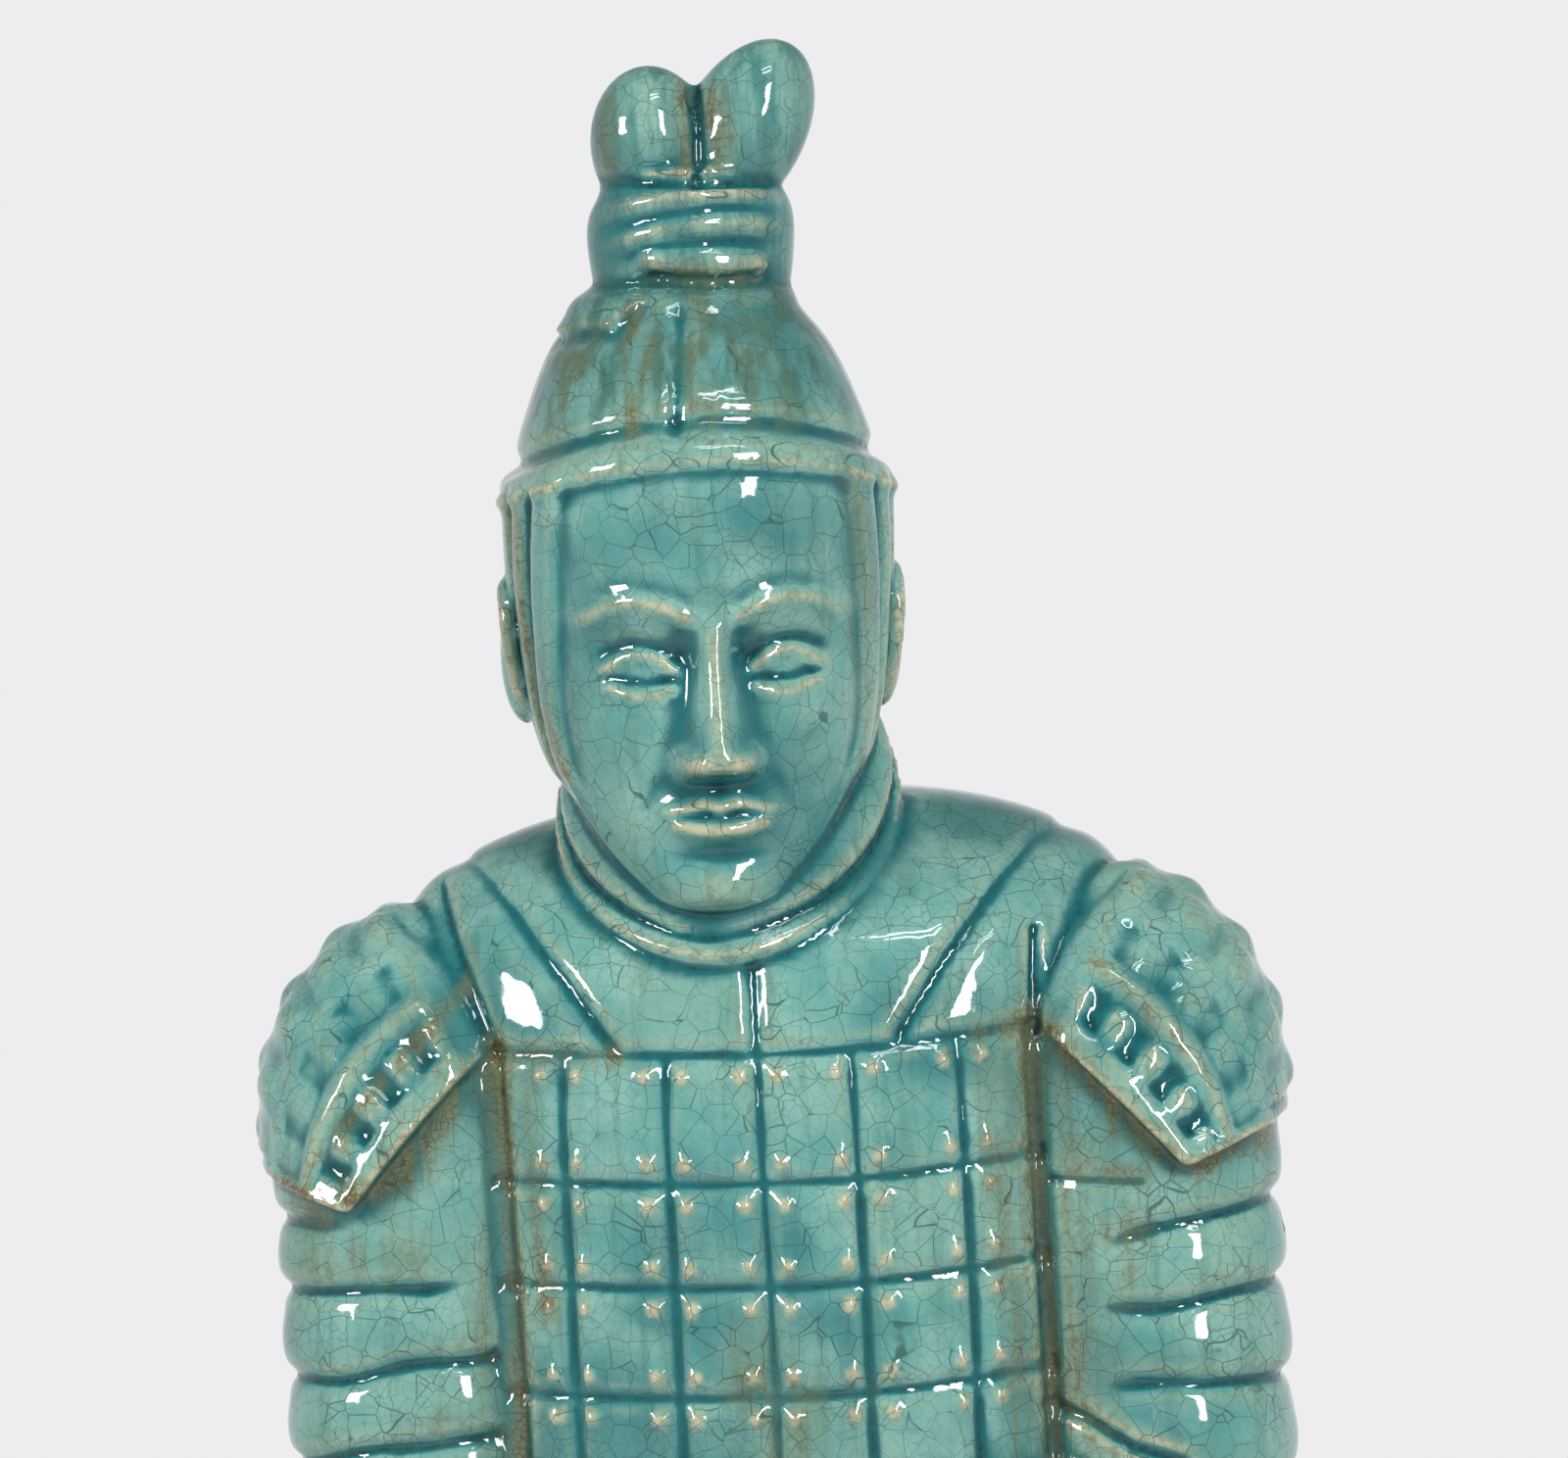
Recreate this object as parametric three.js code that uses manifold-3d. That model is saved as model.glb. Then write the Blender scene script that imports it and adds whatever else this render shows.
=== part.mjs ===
// Glazed ceramic figure of an armoured dignitary, standing with clasped hands on a low base.
// Millimetres, +Z up. The figure faces -Y, and the origin is the middle of the underside.

import * as THREE from 'three';
import { mergeVertices } from 'three/addons/utils/BufferGeometryUtils.js';
import Module from 'manifold-3d';

// Driving dimensions

const BASE = { width: 150, depth: 132, height: 18, corner: 18, chamfer: 3 };

// Half-width, half-depth and middle of the armoured body at a few heights, hem first
const BODY_STATIONS = [
  { z: 222, wide: 68, deep: 52, y: 2 },
  { z: 260, wide: 64, deep: 48, y: 1 },
  { z: 300, wide: 60, deep: 44, y: 0 },
  { z: 340, wide: 61, deep: 44, y: 0 },
  { z: 380, wide: 62, deep: 43, y: 0 },
  { z: 400, wide: 62, deep: 39, y: 1 },
  { z: 411, wide: 59, deep: 33, y: 4 },
  { z: 418, wide: 51, deep: 27, y: 7 },
  { z: 424, wide: 36, deep: 21, y: 10 },
  { z: 428, wide: 18, deep: 13, y: 12 },
  { z: 429, wide: 0, deep: 0, y: 12 },
];
const BODY_SQUARENESS = 2.6;
const HEM = 222;
const YOKE = { edge: 384, tuck: 8, around: 20 };
const PLATES = { seams: [362, 344, 325, 303, 279, 252], columns: 18, widening: 1.05 };
const SEAM = { half: 1.6, depth: 1.4, share: 0.1 };
// Ends of the yoke's seams as (x, z): at the middle of the front and back, and across each side
const YOKE_SEAMS = {
  front: [[0, 403], [0, 384]], back: [[0, 412], [0, 384]], across: [[47, 411], [25, 384]],
};

// The shoulder guard arches from its straight front edge over the round top of the shoulder.
// Places along it are shares of the way from the strap at the neck to the hem on the arm.
const GUARD = {
  edge: { strap: [47, 384], hem: [71, 360] },
  crest: { x: 54, z: 376, wide: 36, tall: 38, strap: 8, hem: 103 },
  front: { strap: -35.5, hem: -41.5 }, back: { strap: 34, hem: 22 },
  inside: { x: -2, z: 3, front: -29.5, back: 16 },
  strips: 7, stripAngle: 25, lames: 4,
};
// A lame has a dent and then a boss, at these shares of its length, and a ridge on each side
const LAME = { ridge: 0.9, boss: 0.5, dent: -1.3, dentAt: 0.18, bossFrom: 0.4, bossTo: 0.88 };

const ARM = { x: 64, y: -12, wide: 24, deep: 26, top: 404, bottom: 276 };
// Each fold of the sleeve swells between two creases, and rounds off over a share of its height
const FOLD = { pitch: 15, crease: 2.4, slack: 0.2, round: 0.27, first: 348, count: 4 };
const ELBOW = [64, -14, 297];
const WRIST = [22, -44, 291];
const FOREARM = { elbow: 21, wrist: 14, cuff: 17, cuffFrom: 0.8 };
const HANDS = {
  x: 6, y: -51, z: 291, palm: [16, 9, 11],
  fingers: { long: 11, deep: 5.5, tall: 10.5, gap: 1.3, pitch: 5.2 },
  right: { side: 1, level: -5, forward: 4.5 }, left: { side: -1, level: 4, forward: 8 },
};

// The rings of the neck and the scarf give radius, height and tilt down to the front
const COLLAR = {
  x: -4, y: -10,
  rings: [
    [0, 448, 0], [20, 446, 8], [22, 434, 27], [27, 432, 29], [29.3, 427.5, 31],
    [27, 422.5, 32], [30, 421, 32], [31.2, 417.5, 32], [24, 406, 32], [0, 400, 0],
  ],
};

const HEAD = { x: -7, y: -14, z: 460, nod: 8, lean: 0.8, turn: 7.5 };
// Half-width, reach forward and reach back of the head at a few heights above its middle
const HEAD_STATIONS = [
  { z: -49, wide: 0, front: 25, back: -25 },
  { z: -47, wide: 9, front: 33, back: -17 },
  { z: -43, wide: 14.5, front: 35.5, back: -6 },
  { z: -35, wide: 21, front: 36, back: 8 },
  { z: -26, wide: 26, front: 35.5, back: 22 },
  { z: -14, wide: 29.5, front: 35.5, back: 33 },
  { z: 0, wide: 31.5, front: 35, back: 38 },
  { z: 14, wide: 32.5, front: 36, back: 40 },
  { z: 26, wide: 32, front: 36, back: 39.5 },
  { z: 37, wide: 28.6, front: 30, back: 36 },
  { z: 46, wide: 24.6, front: 22, back: 33 },
  { z: 52, wide: 20, front: 14, back: 29 },
  { z: 57, wide: 16, front: 9, back: 25 },
  { z: 60, wide: 0, front: -8, back: 8 },
];
const HEAD_SQUARENESS = 2.25;
// Rings of the head: height, how far each stands proud, and how far it rises in front. The cloth
// band and the groove over it arch up over the brow.
const HEAD_RINGS = [
  [60, 0], [57, 0], [51, 0], [44, 0], [36, 0, 2], [27.5, -1, 7], [26, 1.8, 7], [21.5, 2, 7], [20, 0, 7],
  [12, 0], [4, 0], [-6, 0], [-11, 0], [-17, 0], [-23, 0], [-28, 0], [-32, 0],
  [-37, 0], [-43, 0], [-47, 0], [-49, 0],
];
// Brow, eye socket, cheek, mouth, hollow under it and chin: height, x, z, half-width, half-height
const FACE_MOUNDS = [
  [1.6, 13, 4, 12, 4], [-3.4, 12, -6, 8, 5], [1.2, 17, -18, 8, 8],
  [1.6, 0, -31, 11, 6], [-1.4, 0, -37.5, 9, 2.5], [1.8, 0, -43, 9, 4],
];
const FACE = {
  brow: { radius: 1.7, before: 0.2, line: [[4.5, 2.8], [12, 6], [20, 5], [26, 0.5]] },
  lid: { radius: 1.2, before: 1.4, line: [[6.5, -7.6], [12.5, -4.4], [19, -7]] },
  eye: { at: [12.4, -7], inside: 1.6, size: [6.2, 3.6, 3.2], slant: 10 },
  nose: { root: [0, -32, 5], foot: [0, -37.5, -23], narrow: 2.6, widening: 2.2 },
  noseTip: { at: [0, -38.6, -21.8], size: [6.2, 3.8, 3.2] },
  lips: [{ at: [0, -30], size: [8.4, 3, 1.8] }, { at: [0, -33.6], size: [6.8, 3, 1.9] }],
  ear: { at: [32, 2, -6], size: [3.5, 6.5, 13], turns: [8, 0, -12] },
};
// A cloth flap hangs from the band on each side, before the ear, in two folds
const FLAPS = [
  { radius: 2.8, line: [[29, -15, 22], [29.5, -16, 4], [27, -17, -14], [20, -19, -33]] },
  { radius: 2.2, line: [[32.4, -7, 22], [31.8, -7, 4], [29.6, -7, -16], [24, -8, -31]] },
];
// The rings of the wound hair are pairs of height and share of its full width
const TOPKNOT = {
  x: 1.2, y: 8, wide: 18.2, deep: 16.5,
  rings: [
    [78, 0.8], [77, 0.86], [73.5, 0.98], [71.5, 0.88], [69.5, 0.99],
    [65, 1], [63, 0.9], [60.5, 0.97], [56, 0.84], [52, 0.9], [50, 0.9],
  ],
  leftLobe: { x: -7.4, z: 82, size: [9.4, 10.5, 14], lean: -5 },
  rightLobe: { x: 8, z: 84, size: [10.6, 11.5, 17], lean: 17 },
  root: { z: 80, size: [9, 9, 12] },
  tail: { radius: 2.6, inside: 0.8, line: [[-4, 56.5], [-9, 52], [-14, 47.5], [-21, 46]] },
};

// The robe falls in flutes from under the armour to the base, over the toes of the shoes
const ROBE = {
  y: 2, squareness: 2.2, flutes: 10, fluteDepth: 3.4, top: 238, bottom: 17,
  wide: [58, 65], deep: [44, 49], hem: 40, hemCrease: 1.4,
};
const TOE = { x: 24, y: -42, z: 24, wide: 16, deep: 19, tall: 10, squareness: 3.2 };

const GLAZE = { color: 0x6aa39d, roughness: 0.15, metalness: 0 };

const wasm = await Module();
wasm.setup();

const radians = THREE.MathUtils.degToRad;
const lerp = THREE.MathUtils.lerp;

// Closed forms

// A closed form from the net of a sphere. place(turn, fall, point, step, row) puts each point.
// The turn is counted from the front towards +X, and fall runs from the upper pole to the lower.
function closedForm(around, down, place) {
  const geometry = new THREE.SphereGeometry(1, around, down);
  const { position, uv } = geometry.attributes;
  const point = new THREE.Vector3();
  for (let i = 0; i < position.count; i++) {
    const fall = 1 - uv.getY(i);
    const turn = 2 * Math.PI * uv.getX(i) - Math.PI / 2;
    const step = Math.floor(uv.getX(i) * around + 0.25) % around;
    place(turn, fall, point, step, Math.round(fall * down));
    position.setXYZ(i, point.x, point.y, point.z);
  }
  return geometry;
}

// An ellipsoid, turned by angles in degrees and then moved
function blob(centre, radii, turns = [0, 0, 0], around = 8, down = 5) {
  const geometry = new THREE.SphereGeometry(1, around, down).rotateX(Math.PI / 2);
  const angles = new THREE.Euler(...turns.map(radians));
  geometry.scale(...radii);
  geometry.applyMatrix4(new THREE.Matrix4().makeRotationFromEuler(angles));
  return geometry.translate(...centre);
}

// A round bar along a smooth curve through the given points
function bar(points, radius, steps = 5, sides = 4) {
  const section = new THREE.Shape().absarc(0, 0, radius, 0, 2 * Math.PI);
  const extrudePath = new THREE.CatmullRomCurve3(points.map((p) => new THREE.Vector3(...p)));
  return new THREE.ExtrudeGeometry(section, { steps, curveSegments: sides / 2, extrudePath });
}

// A round form from one point to another, with a radius for each share of the way and short
// round ends
function limb(from, to, radiusAt, around = 10, down = 6) {
  const start = new THREE.Vector3(...from);
  const axis = new THREE.Vector3(...to).sub(start);
  const length = axis.length();
  const bluntness = 2.5;
  const geometry = closedForm(around, down, (turn, fall, point) => {
    const radius = radiusAt(fall) * Math.min(1, bluntness * Math.sin(Math.PI * fall));
    point.set(radius * Math.sin(turn), -radius * Math.cos(turn), -length * fall);
  });
  const downward = new THREE.Vector3(0, 0, -1);
  const turned = new THREE.Quaternion().setFromUnitVectors(downward, axis.normalize());
  return geometry.applyQuaternion(turned).translate(...from);
}

// The same form with its shared points merged
function merged(geometry) {
  const bare = geometry.clone();
  bare.deleteAttribute('normal');
  bare.deleteAttribute('uv');
  return mergeVertices(bare, 1e-3);
}

// A form made for the +X side, and its mirror image, whose faces are turned round again
function pair(geometry) {
  const right = merged(geometry);
  const left = right.clone().scale(-1, 1, 1);
  left.index.array.reverse();
  return [right, left];
}

function solid(geometry) {
  const { attributes, index } = merged(geometry);
  const vertProperties = new Float32Array(attributes.position.array);
  const triVerts = new Uint32Array(index.array);
  return new wasm.Manifold(new wasm.Mesh({ numProp: 3, vertProperties, triVerts }));
}

// Smooth values between stations, read by height
function profile(stations, ...names) {
  const heights = stations.map((station) => station.z);
  const values = stations.flatMap((station) => names.map((name) => station[name]));
  const spline = new THREE.CubicInterpolant(heights, values, names.length);
  return (z) => Array.from(spline.evaluate(z));
}

// Reach of a squarish oval in the direction turn
function ovalReach(turn, wide, deep, squareness) {
  if (wide < 0.01) {
    return 0;
  }
  const across = Math.pow(Math.abs(Math.sin(turn)) / wide, squareness);
  const ahead = Math.pow(Math.abs(Math.cos(turn)) / deep, squareness);
  return Math.pow(across + ahead, -1 / squareness);
}

// Body: a broad trunk, plated in square lames from the yoke to the hem

const bodySize = profile(BODY_STATIONS, 'wide', 'deep', 'y');

// A point on the body in the direction turn, or a little inside it
function placeOnBody(point, turn, z, inside, closed) {
  const [wide, deep, middle] = bodySize(z);
  const reach = closed ? 0 : ovalReach(turn, wide, deep, BODY_SQUARENESS) - inside;
  point.set(reach * Math.sin(turn), middle - reach * Math.cos(turn), z);
}

// Rings of the plates from the top: three at each level seam, the middle one cut in
function plateRings() {
  const top = YOKE.edge;
  const rings = [{ z: top, closed: true }, { z: top, seam: true }, { z: top - SEAM.half }];
  for (const z of PLATES.seams) {
    rings.push({ z: z + SEAM.half }, { z, seam: true }, { z: z - SEAM.half });
  }
  rings.push({ z: HEM }, { z: HEM, closed: true });
  return rings;
}

// Directions of the points round a ring: one in each upright seam, and one on each side of it.
// The columns are a little wider in front and behind than at the sides.
function columnTurn(step) {
  const share = [0, SEAM.share, 1 - SEAM.share][step % 3];
  const angle = (2 * Math.PI * (Math.floor(step / 3) + share)) / PLATES.columns;
  return Math.atan2(PLATES.widening * Math.sin(angle), Math.cos(angle));
}

function plates() {
  const rings = plateRings();
  return closedForm(3 * PLATES.columns, rings.length - 1, (turn, fall, point, step, row) => {
    const { z, seam, closed } = rings[row];
    const cut = seam || step % 3 === 0 ? SEAM.depth : 0;
    placeOnBody(point, columnTurn(step), z, cut, closed);
  });
}

// The yoke rises from the top seam of the plates to the neck
function yoke() {
  const tucked = YOKE.edge - YOKE.tuck;
  const above = BODY_STATIONS.map((station) => station.z).filter((z) => z > YOKE.edge);
  const heights = [tucked, tucked, YOKE.edge, YOKE.edge + SEAM.half, ...above].reverse();
  return closedForm(YOKE.around, heights.length - 1, (turn, fall, point, step, row) => {
    const closed = row === 0 || row === heights.length - 1;
    placeOnBody(point, turn, heights[row], heights[row] > YOKE.edge ? 0 : SEAM.depth, closed);
  });
}

// A shallow seam across the yoke, from one (x, z) to another, on its front or its back
function yokeSeam([from, to], front) {
  const points = [0, 1, 2, 3].map((step) => {
    const x = lerp(from[0], to[0], step / 3);
    const z = lerp(from[1], to[1], step / 3);
    const [wide, deep, middle] = bodySize(z);
    const share = Math.pow(Math.min(1, Math.abs(x) / wide), BODY_SQUARENESS);
    const y = deep * Math.pow(1 - share, 1 / BODY_SQUARENESS);
    return [x, middle + (front ? -y : y), z];
  });
  return bar(points, SEAM.half, 4);
}

function yokeSeams() {
  return [
    yokeSeam(YOKE_SEAMS.front, true), yokeSeam(YOKE_SEAMS.back, false),
    ...pair(yokeSeam(YOKE_SEAMS.across, true)),
  ];
}

// Shoulder guard: strips of small lames with a ridge between them, each lame a low boss with a
// dent above it

// Shares of the way along the guard: every lame has its dent first, then the two ends of its boss
function guardRings() {
  const rings = [{ share: 0, closed: true }, { share: 0 }];
  for (let lame = 0; lame < GUARD.lames; lame++) {
    const at = (part) => (lame + part) / GUARD.lames;
    rings.push({ share: at(LAME.dentAt), dent: true });
    rings.push({ share: at(LAME.bossFrom) }, { share: at(LAME.bossTo) });
  }
  rings.push({ share: 1 }, { share: 1, closed: true });
  return rings;
}

// A point of the guard: lift is how far it stands proud, and arch runs from -1 at the front edge
// to 1 at the back edge
function guardPoint(share, arch, lift) {
  const { edge, crest, front, back } = GUARD;
  const tilt = (arch * Math.PI) / 2;
  const turn = radians(lerp(crest.strap, crest.hem, share));
  const rise = Math.cos(tilt);
  const [edgeX, edgeZ] = [0, 1].map((axis) => lerp(edge.strap[axis], edge.hem[axis], share));
  const x = lerp(edgeX, crest.x + crest.wide * Math.sin(turn), rise);
  const z = lerp(edgeZ, crest.z + crest.tall * Math.cos(turn), rise);
  const reached = Math.min(1, 2 * share);
  const ahead = lerp(front.strap, front.hem, reached);
  const behind = lerp(back.strap, back.hem, reached);
  const y = (ahead + behind) / 2 + ((behind - ahead) / 2) * Math.sin(tilt);
  const out = lift * rise;
  return [x + out * Math.sin(turn), y + lift * Math.sin(tilt), z + out * Math.cos(turn)];
}

function shoulderGuard() {
  const { edge, inside } = GUARD;
  const rings = guardRings();
  const across = 2 * GUARD.strips;
  const innerPoints = 2;
  const slope = (GUARD.strips * GUARD.stripAngle) / 180;
  const place = (turn, fall, point, step, row) => {
    const { share, dent, closed } = rings[row];
    if (closed || step > across) {
      const depth = closed ? 0.5 : (step - across) / (innerPoints + 1);
      const x = lerp(edge.strap[0], edge.hem[0], share) + inside.x;
      const z = lerp(edge.strap[1], edge.hem[1], share) + inside.z;
      point.set(x, lerp(inside.back, inside.front, depth), z);
      return;
    }
    const arch = slope * (step / (across / 2) - 1);
    const flat = dent ? LAME.dent : LAME.boss;
    point.set(...guardPoint(share, arch, step % 2 === 0 ? LAME.ridge : flat));
  };
  return closedForm(across + 1 + innerPoints, rings.length - 1, place);
}

// Arms: sleeves in round folds, forearms brought forward, and hands laid together

// Rings of the sleeve from the top: height, and how far each is drawn in on the outside
function sleeveRings() {
  const { pitch, crease, slack, round, first, count } = FOLD;
  const shoulder = [[ARM.top, 0], [ARM.top - 8, 6], [ARM.top - 22, 0], [first + 10, 0]];
  const rings = [...shoulder];
  for (let fold = 0; fold < count; fold++) {
    const z = first - fold * pitch;
    rings.push([z, crease], [z - round * pitch, slack], [z - (1 - round) * pitch, slack]);
  }
  rings.push([ARM.bottom + 4, 7], [ARM.bottom, 0]);
  return rings;
}

function sleeve() {
  const rings = sleeveRings();
  const last = rings.length - 1;
  return closedForm(12, last, (turn, fall, point, step, row) => {
    const [z, cut] = rings[row];
    const drawn = cut * THREE.MathUtils.smoothstep(Math.sin(turn), -0.7, 0.3);
    const open = row > 0 && row < last ? 1 : 0;
    const across = open * (ARM.wide - drawn) * Math.sin(turn);
    const ahead = open * (ARM.deep - drawn) * Math.cos(turn);
    point.set(ARM.x + across, ARM.y - ahead, z);
  });
}

function forearm() {
  const { elbow, wrist, cuff, cuffFrom } = FOREARM;
  return limb(ELBOW, WRIST, (share) => lerp(elbow, wrist, share) + (share > cuffFrom ? cuff - wrist : 0));
}

// The fingers are one form with four lobes round its section
function hand({ side, level, forward }) {
  const { long, deep, tall, gap, pitch } = HANDS.fingers;
  const z = HANDS.z + level;
  const palm = blob([side * HANDS.x, HANDS.y, z], HANDS.palm, [0, side * 12, 0]);
  const fingers = closedForm(16, 5, (turn, fall, point) => {
    const along = Math.cos(Math.PI * fall);
    const ring = Math.sqrt(Math.max(0, 1 - along ** 4));
    const up = tall * Math.cos(turn);
    const thinned = deep - gap * Math.cos((2 * Math.PI * up) / pitch) ** 2;
    point.set(-long * along, thinned * ring * Math.sin(turn), up * ring);
  });
  fingers.rotateY(radians(side * 8)).rotateZ(radians(side * 10));
  return [palm, fingers.translate(-side * HANDS.x, HANDS.y - forward, z)];
}

// Neck and collar: a scarf wound twice round the neck, low in front. Each ring of the form has a
// radius, a height and its own tilt.
function collar() {
  const rings = COLLAR.rings;
  return closedForm(16, rings.length - 1, (turn, fall, point, step, row) => {
    const [radius, height, tilt] = rings[row];
    const drop = radius * Math.cos(turn) * Math.tan(radians(tilt));
    point.set(COLLAR.x + radius * Math.sin(turn), COLLAR.y - radius * Math.cos(turn), height - drop);
  });
}

// Head, made upright about its own middle and then turned

const headSize = profile(HEAD_STATIONS, 'wide', 'front', 'back');

function faceRelief(x, z) {
  return FACE_MOUNDS.reduce((sum, [height, besideX, atZ, halfWide, halfTall]) => {
    const across = (Math.abs(x) - besideX) / halfWide;
    const up = (z - atZ) / halfTall;
    return sum + height * Math.exp(-across * across - up * up);
  }, 0);
}

// A point on the face, or a little before it
function facePoint([x, z], before = 0) {
  const [wide, front, back] = headSize(z);
  const deep = (back + front) / 2;
  const share = 1 - Math.pow(Math.abs(x) / wide, HEAD_SQUARENESS);
  const y = (back - front) / 2 - deep * Math.pow(share, 1 / HEAD_SQUARENESS);
  return [x, y - faceRelief(x, z) - before, z];
}

// Skull and combed hair, with the cloth band round the brow as a few proud rings
function skull() {
  const rings = HEAD_RINGS;
  const crowding = 0.3;
  return closedForm(22, rings.length - 1, (turn, fall, point, step, row) => {
    const [z, proud, rise = 0] = rings[row];
    const [wide, front, back] = headSize(z);
    const direction = turn - crowding * Math.sin(turn);
    const pole = row === 0 || row === rings.length - 1;
    const bare = ovalReach(direction, wide, (back + front) / 2, HEAD_SQUARENESS);
    const reach = pole ? 0 : bare + proud;
    const x = reach * Math.sin(direction);
    const ahead = pole ? 0 : Math.max(0, Math.cos(direction));
    const y = (back - front) / 2 - reach * Math.cos(direction);
    point.set(x, y - ahead * faceRelief(x, z), z + rise * ahead);
  });
}

function face() {
  const { brow, lid, eye, nose, noseTip, lips, ear } = FACE;
  const line = (form, steps) => bar(form.line.map((at) => facePoint(at, form.before)), form.radius, steps);
  const paired = [
    line(brow, 5), line(lid, 4), blob(facePoint(eye.at, -eye.inside), eye.size, [0, 0, eye.slant]),
    blob(ear.at, ear.size, ear.turns),
  ];
  const bridge = limb(nose.root, nose.foot, (share) => nose.narrow + nose.widening * share, 8, 5);
  const middle = lips.map((lip) => blob(facePoint(lip.at, -eye.inside), lip.size));
  return [...paired.flatMap(pair), bridge, blob(noseTip.at, noseTip.size), ...middle];
}

// The topknot: wound hair below, two lobes of looped hair above, the right one leaning out, and
// the tail of hair that comes forward from it
function topknot() {
  const { x, y, wide, deep, rings, leftLobe, rightLobe, root, tail } = TOPKNOT;
  const last = rings.length - 1;
  const knot = closedForm(12, last, (turn, fall, point, step, row) => {
    const [z, share] = rings[row];
    const open = row > 0 && row < last ? 1 : 0;
    const reach = open * ovalReach(turn, wide * share, deep * share, 2);
    point.set(x + reach * Math.sin(turn), y - reach * Math.cos(turn), z);
  });
  const lobes = [leftLobe, rightLobe].map(
    (lobe) => blob([x + lobe.x, y, lobe.z], lobe.size, [0, lobe.lean, 0], 10, 7),
  );
  const onHair = tail.line.map((at) => facePoint(at, -tail.inside));
  return [knot, bar(onHair, tail.radius), ...lobes, blob([x, y, root.z], root.size)];
}

function head() {
  const turned = new THREE.Euler(...[HEAD.nod, HEAD.lean, HEAD.turn].map(radians), 'ZYX');
  const placed = new THREE.Matrix4().makeRotationFromEuler(turned);
  placed.setPosition(HEAD.x, HEAD.y, HEAD.z);
  const flaps = FLAPS.flatMap((flap) => pair(bar(flap.line, flap.radius, 4)));
  return [skull(), ...face(), ...flaps, ...topknot()].map((form) => form.applyMatrix4(placed));
}

// Below the armour: a fluted robe down to the base, with square toes under its hem

function robe() {
  const { top, bottom, hem } = ROBE;
  const heights = [top, top, hem + 4, hem, hem - 4, bottom, bottom];
  const last = heights.length - 1;
  return closedForm(4 * ROBE.flutes, last, (turn, fall, point, step, row) => {
    const z = heights[row];
    const share = (top - z) / (top - bottom);
    const flute = ROBE.fluteDepth * share * Math.cos(ROBE.flutes * turn);
    const crease = z === hem ? ROBE.hemCrease : 0;
    const [wide, deep] = [lerp(...ROBE.wide, share), lerp(...ROBE.deep, share)];
    const open = row > 0 && row < last ? 1 : 0;
    const reach = open * (ovalReach(turn, wide, deep, ROBE.squareness) + flute - crease);
    point.set(reach * Math.sin(turn), ROBE.y - reach * Math.cos(turn), z);
  });
}

function toe() {
  return closedForm(12, 5, (turn, fall, point) => {
    const level = Math.cos(Math.PI * fall);
    const ring = Math.sqrt(Math.max(0, 1 - level * level));
    const reach = ring * ovalReach(turn, TOE.wide, TOE.deep, TOE.squareness);
    const z = TOE.z + TOE.tall * level;
    point.set(TOE.x + reach * Math.sin(turn), TOE.y - reach * Math.cos(turn), z);
  });
}

function base() {
  const { width, depth, height, corner, chamfer } = BASE;
  const [right, back] = [width / 2 - chamfer, depth / 2 - chamfer];
  const radius = corner - chamfer;
  const plan = new THREE.Shape();
  plan.absarc(right - radius, back - radius, radius, 0, Math.PI / 2);
  plan.absarc(radius - right, back - radius, radius, Math.PI / 2, Math.PI);
  plan.absarc(radius - right, radius - back, radius, Math.PI, 1.5 * Math.PI);
  plan.absarc(right - radius, radius - back, radius, 1.5 * Math.PI, 2 * Math.PI);
  const slab = new THREE.ExtrudeGeometry(plan, {
    depth: height - 2 * chamfer, bevelThickness: chamfer, bevelSize: chamfer,
    bevelSegments: 1, curveSegments: 2,
  });
  return slab.translate(0, 0, chamfer);
}

// The whole figure is one body of clay

function figure() {
  const seamedYoke = yokeSeams().reduce((left, seam) => left.subtract(solid(seam)), solid(yoke()));
  const arms = [shoulderGuard(), sleeve(), forearm()].flatMap(pair);
  const hands = [...hand(HANDS.right), ...hand(HANDS.left)];
  const below = [robe(), ...pair(toe()), base()];
  const forms = [plates(), collar(), ...head(), ...arms, ...hands, ...below];
  const mesh = forms.reduce((sum, form) => sum.add(solid(form)), seamedYoke).getMesh();
  const geometry = new THREE.BufferGeometry();
  geometry.setAttribute('position', new THREE.BufferAttribute(mesh.vertProperties, 3));
  geometry.setIndex(new THREE.BufferAttribute(mesh.triVerts, 1));
  geometry.computeVertexNormals();
  return geometry;
}

const model = new THREE.Group();
const ceramicFigure = new THREE.Mesh(figure(), new THREE.MeshStandardMaterial(GLAZE));
ceramicFigure.name = 'ceramic_figure';
model.add(ceramicFigure);

export default model;
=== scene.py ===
import math

import bmesh
import bpy
import numpy as np
from mathutils import Euler, Matrix, Vector
from mathutils.kdtree import KDTree


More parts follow.
